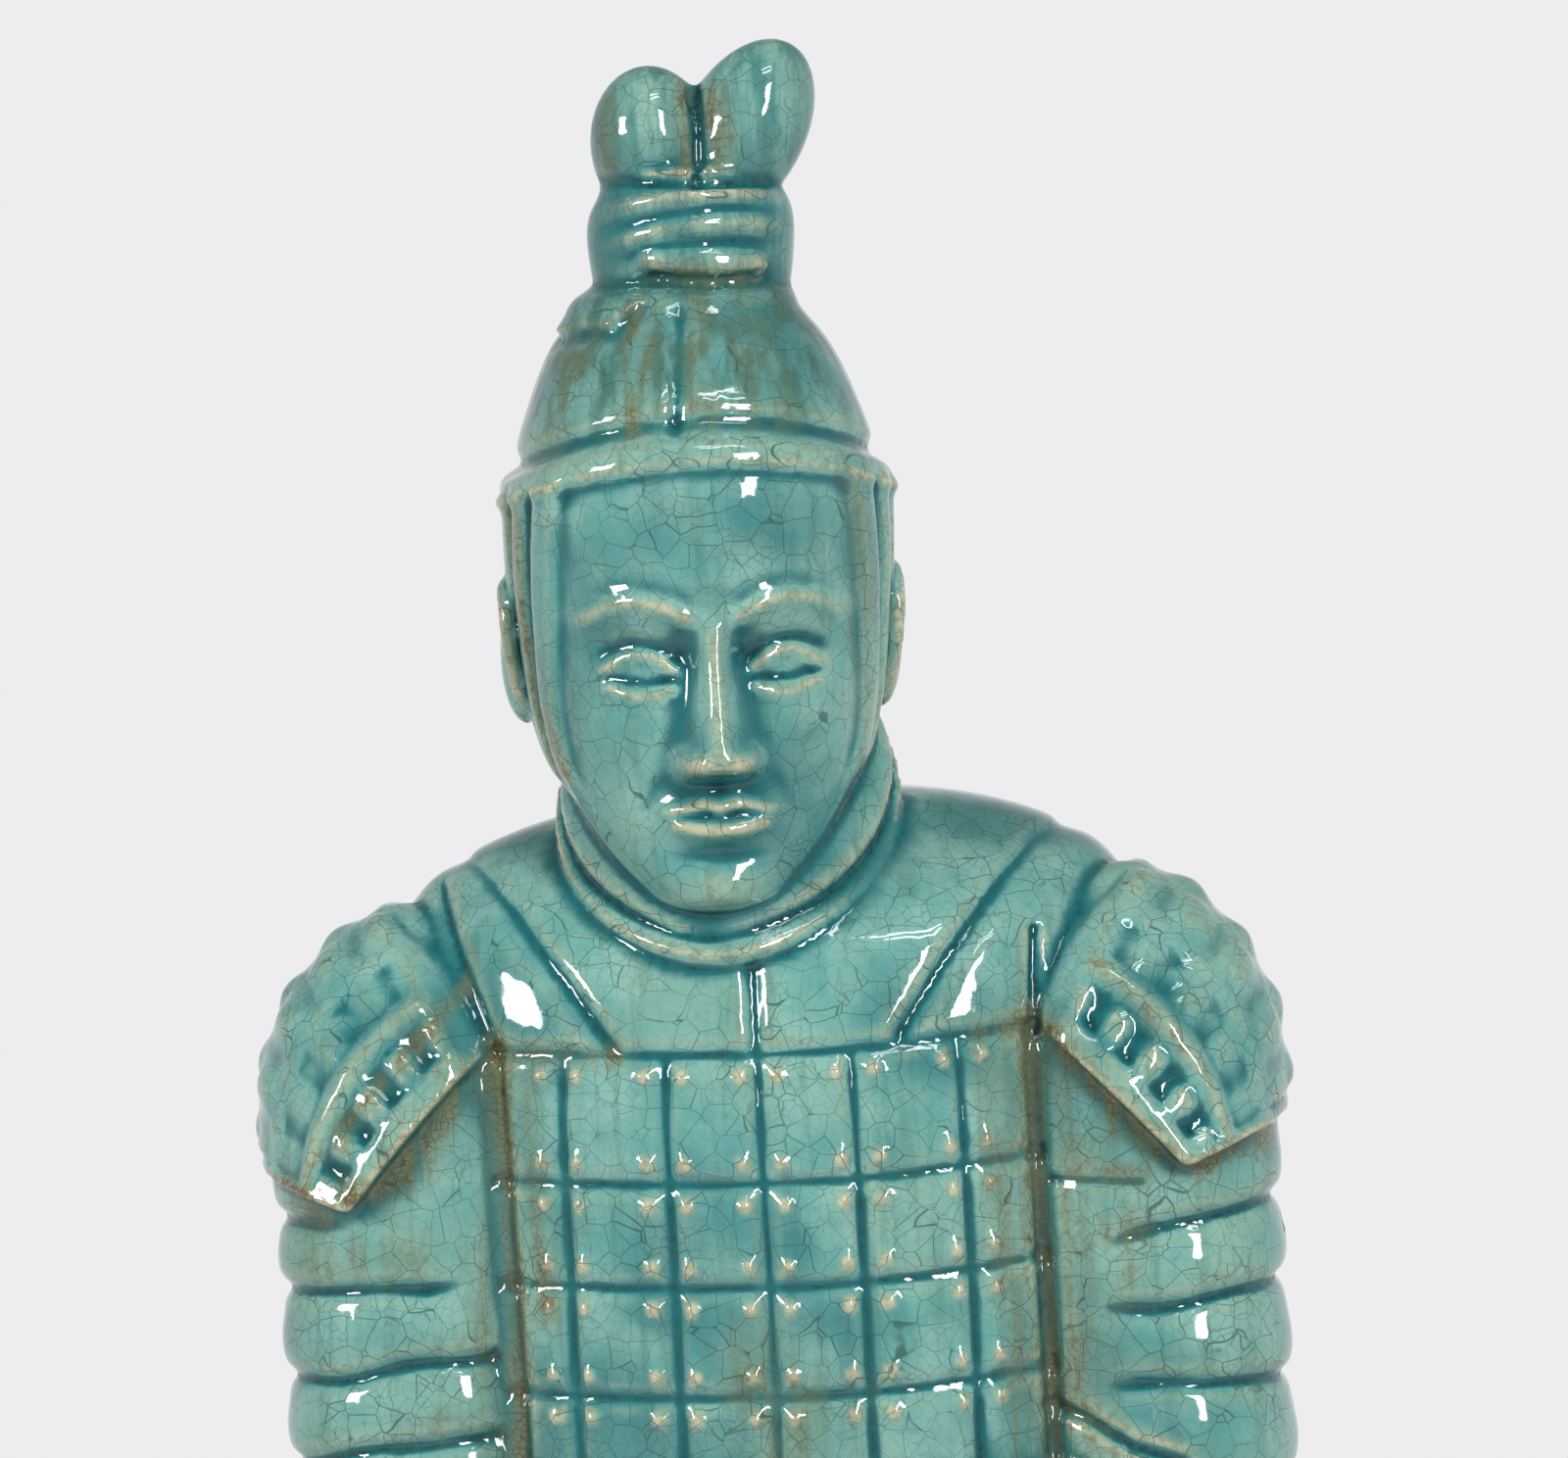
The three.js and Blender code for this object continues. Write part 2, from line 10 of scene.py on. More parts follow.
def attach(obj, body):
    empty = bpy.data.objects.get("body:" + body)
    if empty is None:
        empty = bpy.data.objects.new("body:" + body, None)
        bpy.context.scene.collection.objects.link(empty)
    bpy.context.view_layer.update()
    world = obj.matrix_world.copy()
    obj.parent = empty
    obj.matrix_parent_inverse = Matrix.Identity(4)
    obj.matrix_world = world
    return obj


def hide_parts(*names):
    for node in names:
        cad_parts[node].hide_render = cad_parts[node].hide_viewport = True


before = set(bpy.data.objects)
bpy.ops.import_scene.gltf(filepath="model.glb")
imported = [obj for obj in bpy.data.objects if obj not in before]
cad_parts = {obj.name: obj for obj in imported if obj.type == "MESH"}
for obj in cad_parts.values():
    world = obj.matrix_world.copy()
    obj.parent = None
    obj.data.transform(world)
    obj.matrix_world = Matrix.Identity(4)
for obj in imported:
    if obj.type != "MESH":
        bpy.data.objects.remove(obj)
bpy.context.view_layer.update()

# The view and the light of the photograph: a long lens a metre away, a little above the chest and
# a little to the figure's left, over a pale floor that fades into a pale room. Soft boxes stand
# high in front and at both sides, and give the glaze its crisp white lights.
AIM = Vector((0.0053, 0.0, 0.4385))
DISTANCE = 1.05
AZIMUTH, ELEVATION, ROLL = math.radians(3.8), math.radians(0.5), math.radians(-3.5)
LENS = 136.0

camera = bpy.data.objects.new("camera", bpy.data.cameras.new("camera"))
bpy.context.collection.objects.link(camera)
camera.data.lens = LENS
camera.data.sensor_width = 36.0
toward_camera = Vector((math.sin(AZIMUTH) * math.cos(ELEVATION),
                        -math.cos(AZIMUTH) * math.cos(ELEVATION), math.sin(ELEVATION)))
camera.location = AIM + DISTANCE * toward_camera
aimed = (-toward_camera).to_track_quat("-Z", "Y").to_matrix() @ Matrix.Rotation(ROLL, 3, "Z")
camera.rotation_euler = aimed.to_euler()
bpy.context.scene.camera = camera
bpy.context.scene.view_settings.view_transform = "Standard"

# The room is darker behind the camera and overhead, but the camera sees it evenly pale
ROOM_PALE = (0.845, 0.845, 0.862, 1.0)
ROOM_FRONT, ROOM_BACK = (-0.6, 0.36), (0.5, 0.95)
ROOM_LEVEL, ROOM_CEILING = (0.05, 1.0), (0.65, 0.22)


def add(tree, kind, inputs, **settings):
    """A new node. Each input is a number, a colour or the output that feeds it."""
    node = tree.nodes.new("ShaderNode" + kind)
    for name, value in settings.items():
        setattr(node, name, value)
    for name, value in inputs.items():
        if isinstance(value, bpy.types.NodeSocket):
            tree.links.new(value, node.inputs[name])
        else:
            node.inputs[name].default_value = value
    return node


def times(tree, one, two):
    return add(tree, "Math", {0: one, 1: two}, operation="MULTIPLY").outputs[0]


def between(tree, value, low, high, interpolation="LINEAR"):
    """A value that runs between two pairs, each a place and the result there."""
    return add(tree, "MapRange", {"Value": value, "From Min": low[0], "From Max": high[0],
                                  "To Min": low[1], "To Max": high[1]},
               interpolation_type=interpolation).outputs["Result"]


world = bpy.data.worlds.new("room")
bpy.context.scene.world = world
world.use_nodes = True
tree = world.node_tree
room = tree.nodes["Background"]
room.inputs["Color"].default_value = ROOM_PALE
direction = add(tree, "TexCoord", {}).outputs["Generated"]
heading = add(tree, "SeparateXYZ", {"Vector": direction})
shade = times(tree, between(tree, heading.outputs["Y"], ROOM_FRONT, ROOM_BACK),
              between(tree, heading.outputs["Z"], ROOM_LEVEL, ROOM_CEILING))
seen = add(tree, "LightPath", {}).outputs["Is Camera Ray"]
level = add(tree, "Mix", {"Factor": seen, "A": shade, "B": 1.0}).outputs["Result"]
tree.links.new(level, room.inputs["Strength"])


def soft_box(name, azimuth, elevation, distance, size, power):
    """An area light that faces the chest from a direction given in degrees."""
    lamp = bpy.data.lights.new(name, "AREA")
    lamp.shape = "RECTANGLE"
    lamp.size, lamp.size_y = size
    lamp.energy = power
    a, e = math.radians(azimuth), math.radians(elevation)
    out = Vector((math.sin(a) * math.cos(e), -math.cos(a) * math.cos(e), math.sin(e)))
    stand = bpy.data.objects.new(name, lamp)
    stand.location = AIM + distance * out
    stand.rotation_euler = out.to_track_quat("Z", "Y").to_euler()
    bpy.context.collection.objects.link(stand)


soft_box("overhead_front", 26, 62, 1.5, (0.4, 0.06), 1.4)
soft_box("overhead_back", 26, 56, 1.5, (0.4, 0.06), 1.4)
soft_box("left_window", -52, 20, 1.4, (0.34, 0.42), 12)
soft_box("right_window", 31, 22, 1.4, (0.19, 0.8), 17)

FLOOR_RADIUS = 3.0
FLOOR_WHOLE, FLOOR_GONE = (0.35, 1.0), (1.1, 0.0)

bm = bmesh.new()
bmesh.ops.create_circle(bm, cap_ends=True, cap_tris=True, segments=96, radius=FLOOR_RADIUS)
floor_mesh = bpy.data.meshes.new("floor")
bm.to_mesh(floor_mesh)
bm.free()
floor = bpy.data.objects.new("floor", floor_mesh)
bpy.context.collection.objects.link(floor)
paper = bpy.data.materials.new("pale_paper")
paper.use_nodes = True
tree = paper.node_tree
surface = tree.nodes["Principled BSDF"]
surface.inputs["Base Color"].default_value = (0.82, 0.82, 0.83, 1)
surface.inputs["Roughness"].default_value = 0.9
place = add(tree, "TexCoord", {}).outputs["Object"]
reach = add(tree, "VectorMath", {0: place}, operation="LENGTH").outputs["Value"]
tree.links.new(between(tree, reach, FLOOR_WHOLE, FLOOR_GONE, "SMOOTHSTEP"),
               surface.inputs["Alpha"])
floor_mesh.materials.append(paper)

# The figure is one body of fired clay, pressed from one mould and hollow inside. Its forms are
# built up in millimetres, each from a sheet that is rolled round and closed at both ends.
MM = 0.001
clay = bmesh.new()


def shape(around, down, place, side=1, where=None):
    """A closed form. place(turn, fall) gives x, y and z: turn runs round from the front towards
    +X, fall from the upper end to the lower. side -1 makes the mirror image."""
    bm = bmesh.new()
    bmesh.ops.create_grid(bm, x_segments=around, y_segments=down, size=1.0)
    mesh = bpy.data.meshes.new("form")
    bm.to_mesh(mesh)
    bm.free()
    net = np.empty(3 * len(mesh.vertices), np.float32)
    mesh.vertices.foreach_get("co", net)
    turn, fall = math.pi * net[0::3], (1 - net[1::3]) / 2
    points = np.stack(np.broadcast_arrays(*place(turn, fall)), axis=1).astype(float)
    points[:, 0] *= side
    if where is not None:
        points = points @ np.array(where.to_3x3()).T + np.array(where.translation)
    mesh.vertices.foreach_set("co", (MM * points).astype(np.float32).ravel())
    clay.from_mesh(mesh)
    bpy.data.meshes.remove(mesh)


def smooth_curve(stations, at):
    """Smooth values through stations, whose first number is the place along them."""
    table = np.array(stations, float)
    knots, values = table[:, 0], table[:, 1:]
    chords = np.diff(values, axis=0) / np.diff(knots)[:, None]
    slopes = np.empty_like(values)
    slopes[1:-1] = (values[2:] - values[:-2]) / (knots[2:] - knots[:-2])[:, None]
    slopes[0] = 1.5 * chords[0] - 0.5 * slopes[1]
    slopes[-1] = 1.5 * chords[-1] - 0.5 * slopes[-2]
    at = np.clip(np.asarray(at, float), knots[0], knots[-1])
    i = np.clip(np.searchsorted(knots, at, side="right") - 1, 0, len(knots) - 2)
    span = (knots[i + 1] - knots[i])[..., None]
    t = (at - knots[i])[..., None] / span
    result = (2 * t**3 - 3 * t**2 + 1) * values[i] + (t**3 - 2 * t**2 + t) * span * slopes[i]
    result += (3 * t**2 - 2 * t**3) * values[i + 1] + (t**3 - t**2) * span * slopes[i + 1]
    return np.moveaxis(result, -1, 0)


def oval(turn, wide, deep, squareness):
    """Reach of a squarish oval in the direction turn."""
    wide, deep = np.maximum(wide, 1e-3), np.maximum(deep, 1e-3)
    across = np.abs(np.sin(turn) / wide) ** squareness
    ahead = np.abs(np.cos(turn) / deep) ** squareness
    return (across + ahead) ** (-1 / squareness)


def bell(distance, width):
    return np.exp(-(distance / width) ** 2)


def rise(value, low, high):
    """Smooth step from 0 at low to 1 at high."""
    t = np.clip((value - low) / (high - low), 0, 1)
    return t * t * (3 - 2 * t)


def from_line(x, z, line):
    """Distance from each place to a line through points, as seen from the front."""
    gap = np.full(np.shape(x), 1e9)
    for (x1, z1), (x2, z2) in zip(line, line[1:]):
        run_x, run_z = x2 - x1, z2 - z1
        share = np.clip(((x - x1) * run_x + (z - z1) * run_z) / (run_x**2 + run_z**2), 0, 1)
        gap = np.minimum(gap, np.hypot(x - x1 - share * run_x, z - z1 - share * run_z))
    return gap


def blob(centre, radii, turns=(0, 0, 0), side=1, where=None, around=48, down=32):
    """An ellipsoid, turned by angles in degrees."""
    turned = np.array(Euler([math.radians(a) for a in turns]).to_matrix())

    def place(turn, fall):
        ring = np.sin(math.pi * fall)
        unit = np.stack([ring * np.sin(turn), -ring * np.cos(turn), np.cos(math.pi * fall)])
        return turned @ (unit * np.array(radii)[:, None]) + np.array(centre)[:, None]

    shape(around, down, place, side, where)


def bar(points, radius, side=1, where=None, around=24, down=60, facing=(0, 1, 0)):
    """A round bar through points with rounded ends. radius is one number or one for each."""
    points = np.array(points, float)
    radii = np.broadcast_to(np.asarray(radius, float), len(points))
    steps = np.arange(len(points))

    def place(turn, fall):
        centre = smooth_curve(np.column_stack([steps, points]), fall * steps[-1])
        ahead = smooth_curve(np.column_stack([steps, points]), fall * steps[-1] + 0.02)
        behind = smooth_curve(np.column_stack([steps, points]), fall * steps[-1] - 0.02)
        along = ahead - behind
        along /= np.linalg.norm(along, axis=0)
        across = np.cross(along.T, facing).T
        across /= np.linalg.norm(across, axis=0)
        out = np.cross(across.T, along.T).T
        size = np.interp(fall * steps[-1], steps, radii)
        size = size * np.minimum(1, 2.2 * np.sqrt(np.clip(np.sin(math.pi * fall), 0, 1) / 2))
        return centre + size * (np.sin(turn) * across + np.cos(turn) * out)

    shape(around, down, place, side, where)


# The armoured trunk, broad and squarish, is sunk in square plates below a smooth yoke. Soft
# grooves part the plates, and each has a small round rivet head near each corner.
TRUNK = [
    (222, 68, 52, 2), (260, 64, 48, 1), (300, 60, 44, 0), (340, 61, 44, 0), (380, 62, 43, 0),
    (400, 64, 39, 1), (411, 63, 33, 4), (418.5, 55, 27, 7), (425, 38, 21, 10), (428, 18, 13, 12),
    (429, 0.1, 0.1, 12),
]
TRUNK_SQUARENESS = 2.6
PLATE_SECTION = (61, 44)
HEM, YOKE_EDGE, TRUNK_TOP = 222, 384, 429
PLATE_SEAMS = [384, 362, 344.3, 325.5, 303, 279, 252, 222]
PLATE_SAG, SAG_AT = 1.6, 44
PLATE_COLUMNS, COLUMN_WIDENING = 18, 1.05
GROOVE = dict(width=1.1, depth=1.35, crown=0.12, crown_width=2.4)
# Each seam of the yoke: strength, half-width, and points as x, either side, and z
YOKE_SEAMS = [
    (1.15, 1.5, [(0, 404), (0, 384)]),
    (1.5, 1.8, [(60, 421), (50, 416.5), (43, 409.5), (34, 398), (25.4, 385.4)]),
]
RIVET = dict(aside=3.4, below=3.7, radius=1.45, height=1.15)


def section_length(turn):
    """Distance round the trunk from the middle of the front, in the direction turn."""
    fine = np.linspace(-math.pi, math.pi, 2001)
    reach = oval(fine, *PLATE_SECTION, TRUNK_SQUARENESS)
    steps = np.hypot(np.diff(reach * np.sin(fine)), np.diff(reach * np.cos(fine)))
    length = np.concatenate([[0], np.cumsum(steps)])
    return np.interp(turn, fine, length - length[len(fine) // 2])


def nearest(values, marks):
    """Distance from each value to the nearest mark."""
    return np.min(np.abs(values[:, None] - np.asarray(marks)[None, :]), axis=1)


def wander(values, size, reach, phase=0.0):
    """A slow waver, as a hand leaves in a line."""
    return size * (np.sin(values / reach + phase) + 0.6 * np.sin(1.7 * values / reach + 2 * phase))


def armour_relief(turn, x, z):
    around = section_length(turn)
    half = PLATE_COLUMNS // 2
    angles = 2 * math.pi * np.arange(-half, half + 1) / PLATE_COLUMNS
    columns = np.arctan2(COLUMN_WIDENING * np.sin(angles), np.cos(angles))
    columns[0], columns[-1] = -math.pi, math.pi
    aside = nearest(around + wander(z, 0.28, 17, 1.0), section_length(columns))
    level = z - PLATE_SAG * (x / SAG_AT) ** 2 + wander(around, 0.3, 21, 0.4)
    below = nearest(level, PLATE_SEAMS[:-1])
    plated = rise(YOKE_EDGE + 0.6 - level, -0.6, 0.6)
    upright = bell(aside, GROOVE["width"]) * plated
    groove = np.maximum(upright, bell(below, GROOVE["width"]))
    for strength, width, line in YOKE_SEAMS:
        seam = from_line(np.abs(x), z + wander(z, 0.2, 9), line)
        groove = np.maximum(groove, strength * bell(seam, width))
    crowned = np.maximum(bell(aside, GROOVE["crown_width"]) * plated,
                         bell(below, GROOVE["crown_width"]))
    rivet = np.hypot(aside - RIVET["aside"], nearest(level, PLATE_SEAMS) - RIVET["below"])
    dome = np.sqrt(np.clip(1 - (rivet / RIVET["radius"]) ** 2, 0, 1))
    relief = -GROOVE["crown"] * crowned - GROOVE["depth"] * groove
    return relief + RIVET["height"] * dome * plated


def trunk(turn, fall):
    fine = np.linspace(HEM, TRUNK_TOP, 400)
    wide = smooth_curve(TRUNK, fine)[0]
    length = np.concatenate([[0], np.cumsum(np.hypot(np.diff(fine), np.diff(wide)))])
    share = np.clip((1 - fall) / 0.97 - 0.02, 0, 1)
    z = np.interp(share, length / length[-1], fine)
    wide, deep, middle = smooth_curve(TRUNK, z)
    closing = rise((1 - fall) / 0.97, 0, 0.02)
    reach = oval(turn, wide, deep, TRUNK_SQUARENESS)
    reach = reach + armour_relief(turn, reach * np.sin(turn), z) * rise(wide, 20, 50)
    reach = reach * closing
    return reach * np.sin(turn), middle - reach * np.cos(turn), z


shape(600, 400, trunk)

# A guard of small leather lames arches over each shoulder, from a straight front edge, in strips
# with a ridge between them. Each lame of the front strips is a low boss, with a dent above it
# where the glaze pools, and those behind are soft swells. The shoulder is filled out under it.
# Its front edge and its crest are seen from the front, in x and z, with the crest's levels in
# degrees from upright, and its front and back are the y at the strap and at the hem.
GUARD_EDGE = dict(strap=(47, 385), hem=(71, 360))
GUARD_CREST = dict(x=54, z=376, wide=36, tall=38, strap=8, hem=103)
GUARD_FRONT, GUARD_BACK = (-36.5, -42), (34, 22)
GUARD_INSIDE = dict(x=-2, z=3, front=-29.5, back=16)
GUARD_STRIPS, STRIP_ANGLE, LAMES = 7, 25, 5
GUARD_SKIN = 0.9
LAME = dict(boss=1.2, dent=0.5, swell=1.5, inlay=0.75)
SHOULDER, SHOULDER_GIRTH = [(54.5, -22.5, 389), (59, -16, 400), (65, -6, 400.5)], [4.5, 8, 12.5]


def guard(turn, fall):
    share = np.clip((fall - 0.02) / 0.96, 0, 1)
    closing = rise(np.minimum(fall, 1 - fall), 0, 0.02)
    around = (turn + math.pi) / (2 * math.pi)
    inner_end = around < (1 + GUARD_SKIN) / 2
    strip = np.where(around <= GUARD_SKIN, around / GUARD_SKIN, inner_end) * GUARD_STRIPS
    slope = GUARD_STRIPS * STRIP_ANGLE / 180
    arch = slope * (2 * strip / GUARD_STRIPS - 1)
    tilt = arch * math.pi / 2
    level = np.radians(np.interp(share, [0, 1], [GUARD_CREST["strap"], GUARD_CREST["hem"]]))
    across = np.abs(strip - np.round(strip))
    in_lame = (share * LAMES + 0.25 * np.sin(2.1 * np.floor(strip))) % 1.0
    end = np.clip(slope - np.abs(arch), 0, 1)
    before = rise(0.56 - end, 0, 0.1)
    ridge = (0.45 + 0.75 * before) * bell(across, 0.15)
    boss = LAME["boss"] * rise(across, 0.2, 0.3) * rise(in_lame, 0.4, 0.5)
    boss = boss * rise(0.96 - in_lame, 0, 0.1)
    dent = LAME["dent"] * rise(across, 0.1, 0.3) * bell(in_lame - 0.2, 0.1)
    inlay = LAME["inlay"] * rise(across, 0.12, 0.26)
    swell = LAME["swell"] * np.sin(math.pi * in_lame) ** 2 * rise(across, 0, 0.3)
    first = (before + rise(0.3 - end, 0, 0.04)) / 2
    inlaid = first * (boss - dent - inlay) + (1 - before) * swell
    rim = np.maximum(rise(0.05 - (1 - share), 0, 0.03), rise(0.1 - end, 0, 0.035))
    lift = np.maximum(ridge, rim) + inlaid * rise(1 - share, 0.04, 0.08) * rise(end, 0.08, 0.11)
    lift = lift * rise(share, 0.04, 0.2) - 3.4 * rise(0.15 - share, 0, 0.15)
    up = np.cos(tilt)
    edge_x = np.interp(share, [0, 1], [GUARD_EDGE["strap"][0], GUARD_EDGE["hem"][0]])
    edge_z = np.interp(share, [0, 1], [GUARD_EDGE["strap"][1], GUARD_EDGE["hem"][1]])
    x = edge_x + (GUARD_CREST["x"] + GUARD_CREST["wide"] * np.sin(level) - edge_x) * up
    z = edge_z + (GUARD_CREST["z"] + GUARD_CREST["tall"] * np.cos(level) - edge_z) * up
    reached = np.minimum(1, 2 * share)
    ahead = GUARD_FRONT[0] + (GUARD_FRONT[1] - GUARD_FRONT[0]) * reached
    behind = GUARD_BACK[0] + (GUARD_BACK[1] - GUARD_BACK[0]) * reached
    y = (ahead + behind) / 2 + (behind - ahead) / 2 * np.sin(tilt)
    x = x + lift * up * np.sin(level)
    y = y + lift * np.sin(tilt)
    z = z + lift * up * np.cos(level)
    inner = rise(around, GUARD_SKIN, GUARD_SKIN + 0.02) * rise(1 - around, 0, 0.02)
    depth = np.clip((around - GUARD_SKIN) / (1 - GUARD_SKIN), 0, 1)
    inner_y = GUARD_INSIDE["back"] + (GUARD_INSIDE["front"] - GUARD_INSIDE["back"]) * depth
    inner = np.maximum(inner, 1 - closing)
    inner_y = np.where(closing < 1, -7 + (inner_y + 7) * closing, inner_y)
    x = x + (edge_x + GUARD_INSIDE["x"] - x) * inner
    y = y + (inner_y - y) * inner
    z = z + (edge_z + GUARD_INSIDE["z"] - z) * inner
    return x, y, z


for side in (1, -1):
    shape(480, 130, guard, side)
    bar(SHOULDER, SHOULDER_GIRTH, side, around=64)

# Sleeves hang in round folds from under the guards, the forearms come forward, and the hands are
# laid one over the other before the belt. A fold's crease runs from the outside of the arm inward.
ARM = dict(x=64, y=-12, wide=24, deep=26, squareness=2.4, top=404, bottom=276)
SLEEVE_TOP = [(276, 1), (372, 1), (384, 0.97), (393, 0.84), (400, 0.5), (404, 0.02)]
# Each crease: z at the outside and at the inside, and the x where it ends
CREASES = {
    1: [(352.7, 347.5, 60), (338.6, 335.5, 58), (321.7, 325, 58), (305, 306, 56), (290, 291, 56)],
    -1: [(358.5, 357, 76), (346.1, 347.4, 56), (331, 334, 46), (317, 320.6, 48), (301, 304, 52),
         (287, 290, 54)],
}
ELBOW, WRIST = (64, -14, 297), (22, -44, 291)
FOREARM = dict(elbow=21, wrist=14, cuff=3)
HANDS = dict(x=6, y=-51, z=291)

for side in (1, -1):
    def sleeve(turn, fall, creases=CREASES[side]):
        z = ARM["top"] - (ARM["top"] - ARM["bottom"]) * np.clip(fall * 1.06 - 0.03, 0, 1)
        reach = oval(turn, ARM["wide"], ARM["deep"], ARM["squareness"])
        x = ARM["x"] + reach * np.sin(turn)
        drawn = 0
        for outer, inner, innermost in creases:
            level = outer + (inner - outer) * (88 - x) / 42 + wander(x, 0.5, 6, outer)
            fade = rise(x, innermost - 5, innermost + 4)
            drawn = drawn + fade * (1.9 * bell(z - level, 1.4) + 0.6 * bell(z - level + 2, 4))
            drawn = drawn - 0.4 * fade * bell(z - level - 6, 4)
        size = np.interp(z, *np.array(SLEEVE_TOP).T) * rise(1 - fall, 0, 0.04)
        reach = (reach - drawn) * size
        return ARM["x"] + reach * np.sin(turn), ARM["y"] - reach * np.cos(turn), z

    shape(200, 220, sleeve, side)
    cuffed = np.linspace(0, 1, 11)
    line = [np.array(ELBOW) + share * (np.array(WRIST) - np.array(ELBOW)) for share in cuffed]
    girth = [FOREARM["elbow"] + share * (FOREARM["wrist"] - FOREARM["elbow"]) for share in cuffed]
    girth = [size + (FOREARM["cuff"] if share > 0.8 else 0) for size, share in zip(girth, cuffed)]
    bar(line, girth, side, around=96, down=80, facing=(0, 0, 1))


def fingers(turn, fall):
    along = np.cos(math.pi * fall)
    ring = np.sqrt(np.clip(1 - along**4, 0, 1))
    up = 10.5 * np.cos(turn)
    gap = 1.3 * np.cos(2 * math.pi * up / 5.2) ** 2
    return -11 * along, (5.5 - gap) * ring * np.sin(turn), up * ring


for side, level, before in ((1, -5, 4.5), (-1, 4, 8)):
    centre = (HANDS["x"], HANDS["y"], HANDS["z"] + level)
    blob(centre, (16, 9, 11), (0, 12, 0), side)
    turned = Euler((0, math.radians(side * 8), 0)).to_matrix().to_4x4()
    turned = Matrix.Rotation(math.radians(side * 10), 4, "Z") @ turned
    turned.translation = (-side * HANDS["x"], HANDS["y"] - before, HANDS["z"] + level)
    shape(64, 40, fingers, 1, turned)

# A scarf is wound twice round the neck, low in front. Its upper turn is a thick roll, which dips
# to a point over the breast, and its lower turn shows as a thin edge below.
COLLAR = dict(x=-4.7, y=-10)
# Its rings from the neck's middle outward and down: place, radius, z and tilt in degrees
COLLAR_RINGS = [
    (0, 0.1, 446, 0), (1, 22, 441, 25), (2, 25.3, 436.5, 36), (2.5, 27.8, 434.2, 36.6),
    (3, 29.4, 431, 38), (3.5, 28.5, 429, 39), (3.9, 26.4, 428, 39.3), (4.3, 28.2, 427.8, 39.6),
    (4.7, 30.6, 427, 39.7), (5.1, 30.2, 425.3, 39.7), (5.5, 29, 423.2, 39.7), (6, 26.5, 420, 39.7),
    (7, 24, 406, 36), (8, 0.1, 400, 0),
]


def collar(turn, fall):
    ring = 8 * fall
    radius, height, tilt = smooth_curve(COLLAR_RINGS, ring)
    radius = np.maximum(radius, 0.05)
    dip = 3.2 * bell(turn + 0.12, 0.3) * bell(ring - 2.6, 1.1)
    pool = 1.6 * bell(turn + 0.08, 0.13) * bell(ring - 3.6, 0.8)
    drop = radius * np.cos(turn) * np.tan(np.radians(np.clip(tilt, 0, 40))) + dip
    radius = np.maximum(radius - pool, 0.05)
    return COLLAR["x"] + radius * np.sin(turn), COLLAR["y"] - radius * np.cos(turn), height - drop


shape(300, 220, collar)

# The head, bent a little forward, wears a cloth band low over combed hair, with a flap of two
# folds down each side to the jaw. Its face is calm and even, with closed lips.
HEAD = Euler((math.radians(8), math.radians(0.8), math.radians(7.5)), "XYZ").to_matrix().to_4x4()
HEAD.translation = (-7, -14, 460)
# The head from the chin up: z, half-width, and reach in front and behind
SKULL = [
    (-49, 0.1, 25, -25), (-47, 9, 33, -17), (-43, 14.5, 35.5, -6), (-35, 21, 36, 8),
    (-26, 26, 35.5, 22), (-14, 29.5, 35.5, 33), (0, 31.5, 35, 38), (14, 32.5, 36, 40),
    (26, 32, 36, 39.5), (37, 28.6, 30.5, 36), (46, 24.6, 23, 33), (52, 20, 15, 29),
    (57, 16, 9, 25), (60, 0.1, -8, 8),
]
SKULL_SQUARENESS = 2.25
SKULL_ROWS = [60, 57, 51, 44, 36, 27.5, 20, 12, 4, -6, -17, -28, -37, -43, -47, -49]
# The band rises over the brow, above a hollow where the hair starts
BAND = dict(rise=9, proud=1.8, bottom=18.8, top=25.8, hollow=1.7, hollow_at=27.2)


def in_head(points):
    """Places given as x, y and z of the standing figure, in the head's own x and z."""
    back = HEAD.inverted()
    return [tuple((back @ Vector(point))[i] for i in (0, 2)) for point in points]


# Each mound or hollow of the face: height, x, z, half-width and half-height
FACE_MOUNDS = [
    (1.5, 13, 4.5, 12, 4.2), (0.9, 0, 15, 16, 8), (-3.0, 12.6, -4.5, 7.4, 4.2),
    (-1.6, 5.6, -3, 2.8, 4.5), (2.2, 12.6, -5.6, 6.2, 3.3), (1.4, 18, -14, 9, 7),
    (-0.7, 18, -27, 7, 8), (1.6, 0, -31, 11, 6), (3.4, 4.7, -20.6, 2.5, 2.4),
    (-0.45, 0, -25.5, 1.3, 1.8), (-1.4, 0, -37, 8, 2.4), (2.2, 0, -43.5, 8, 4),
]
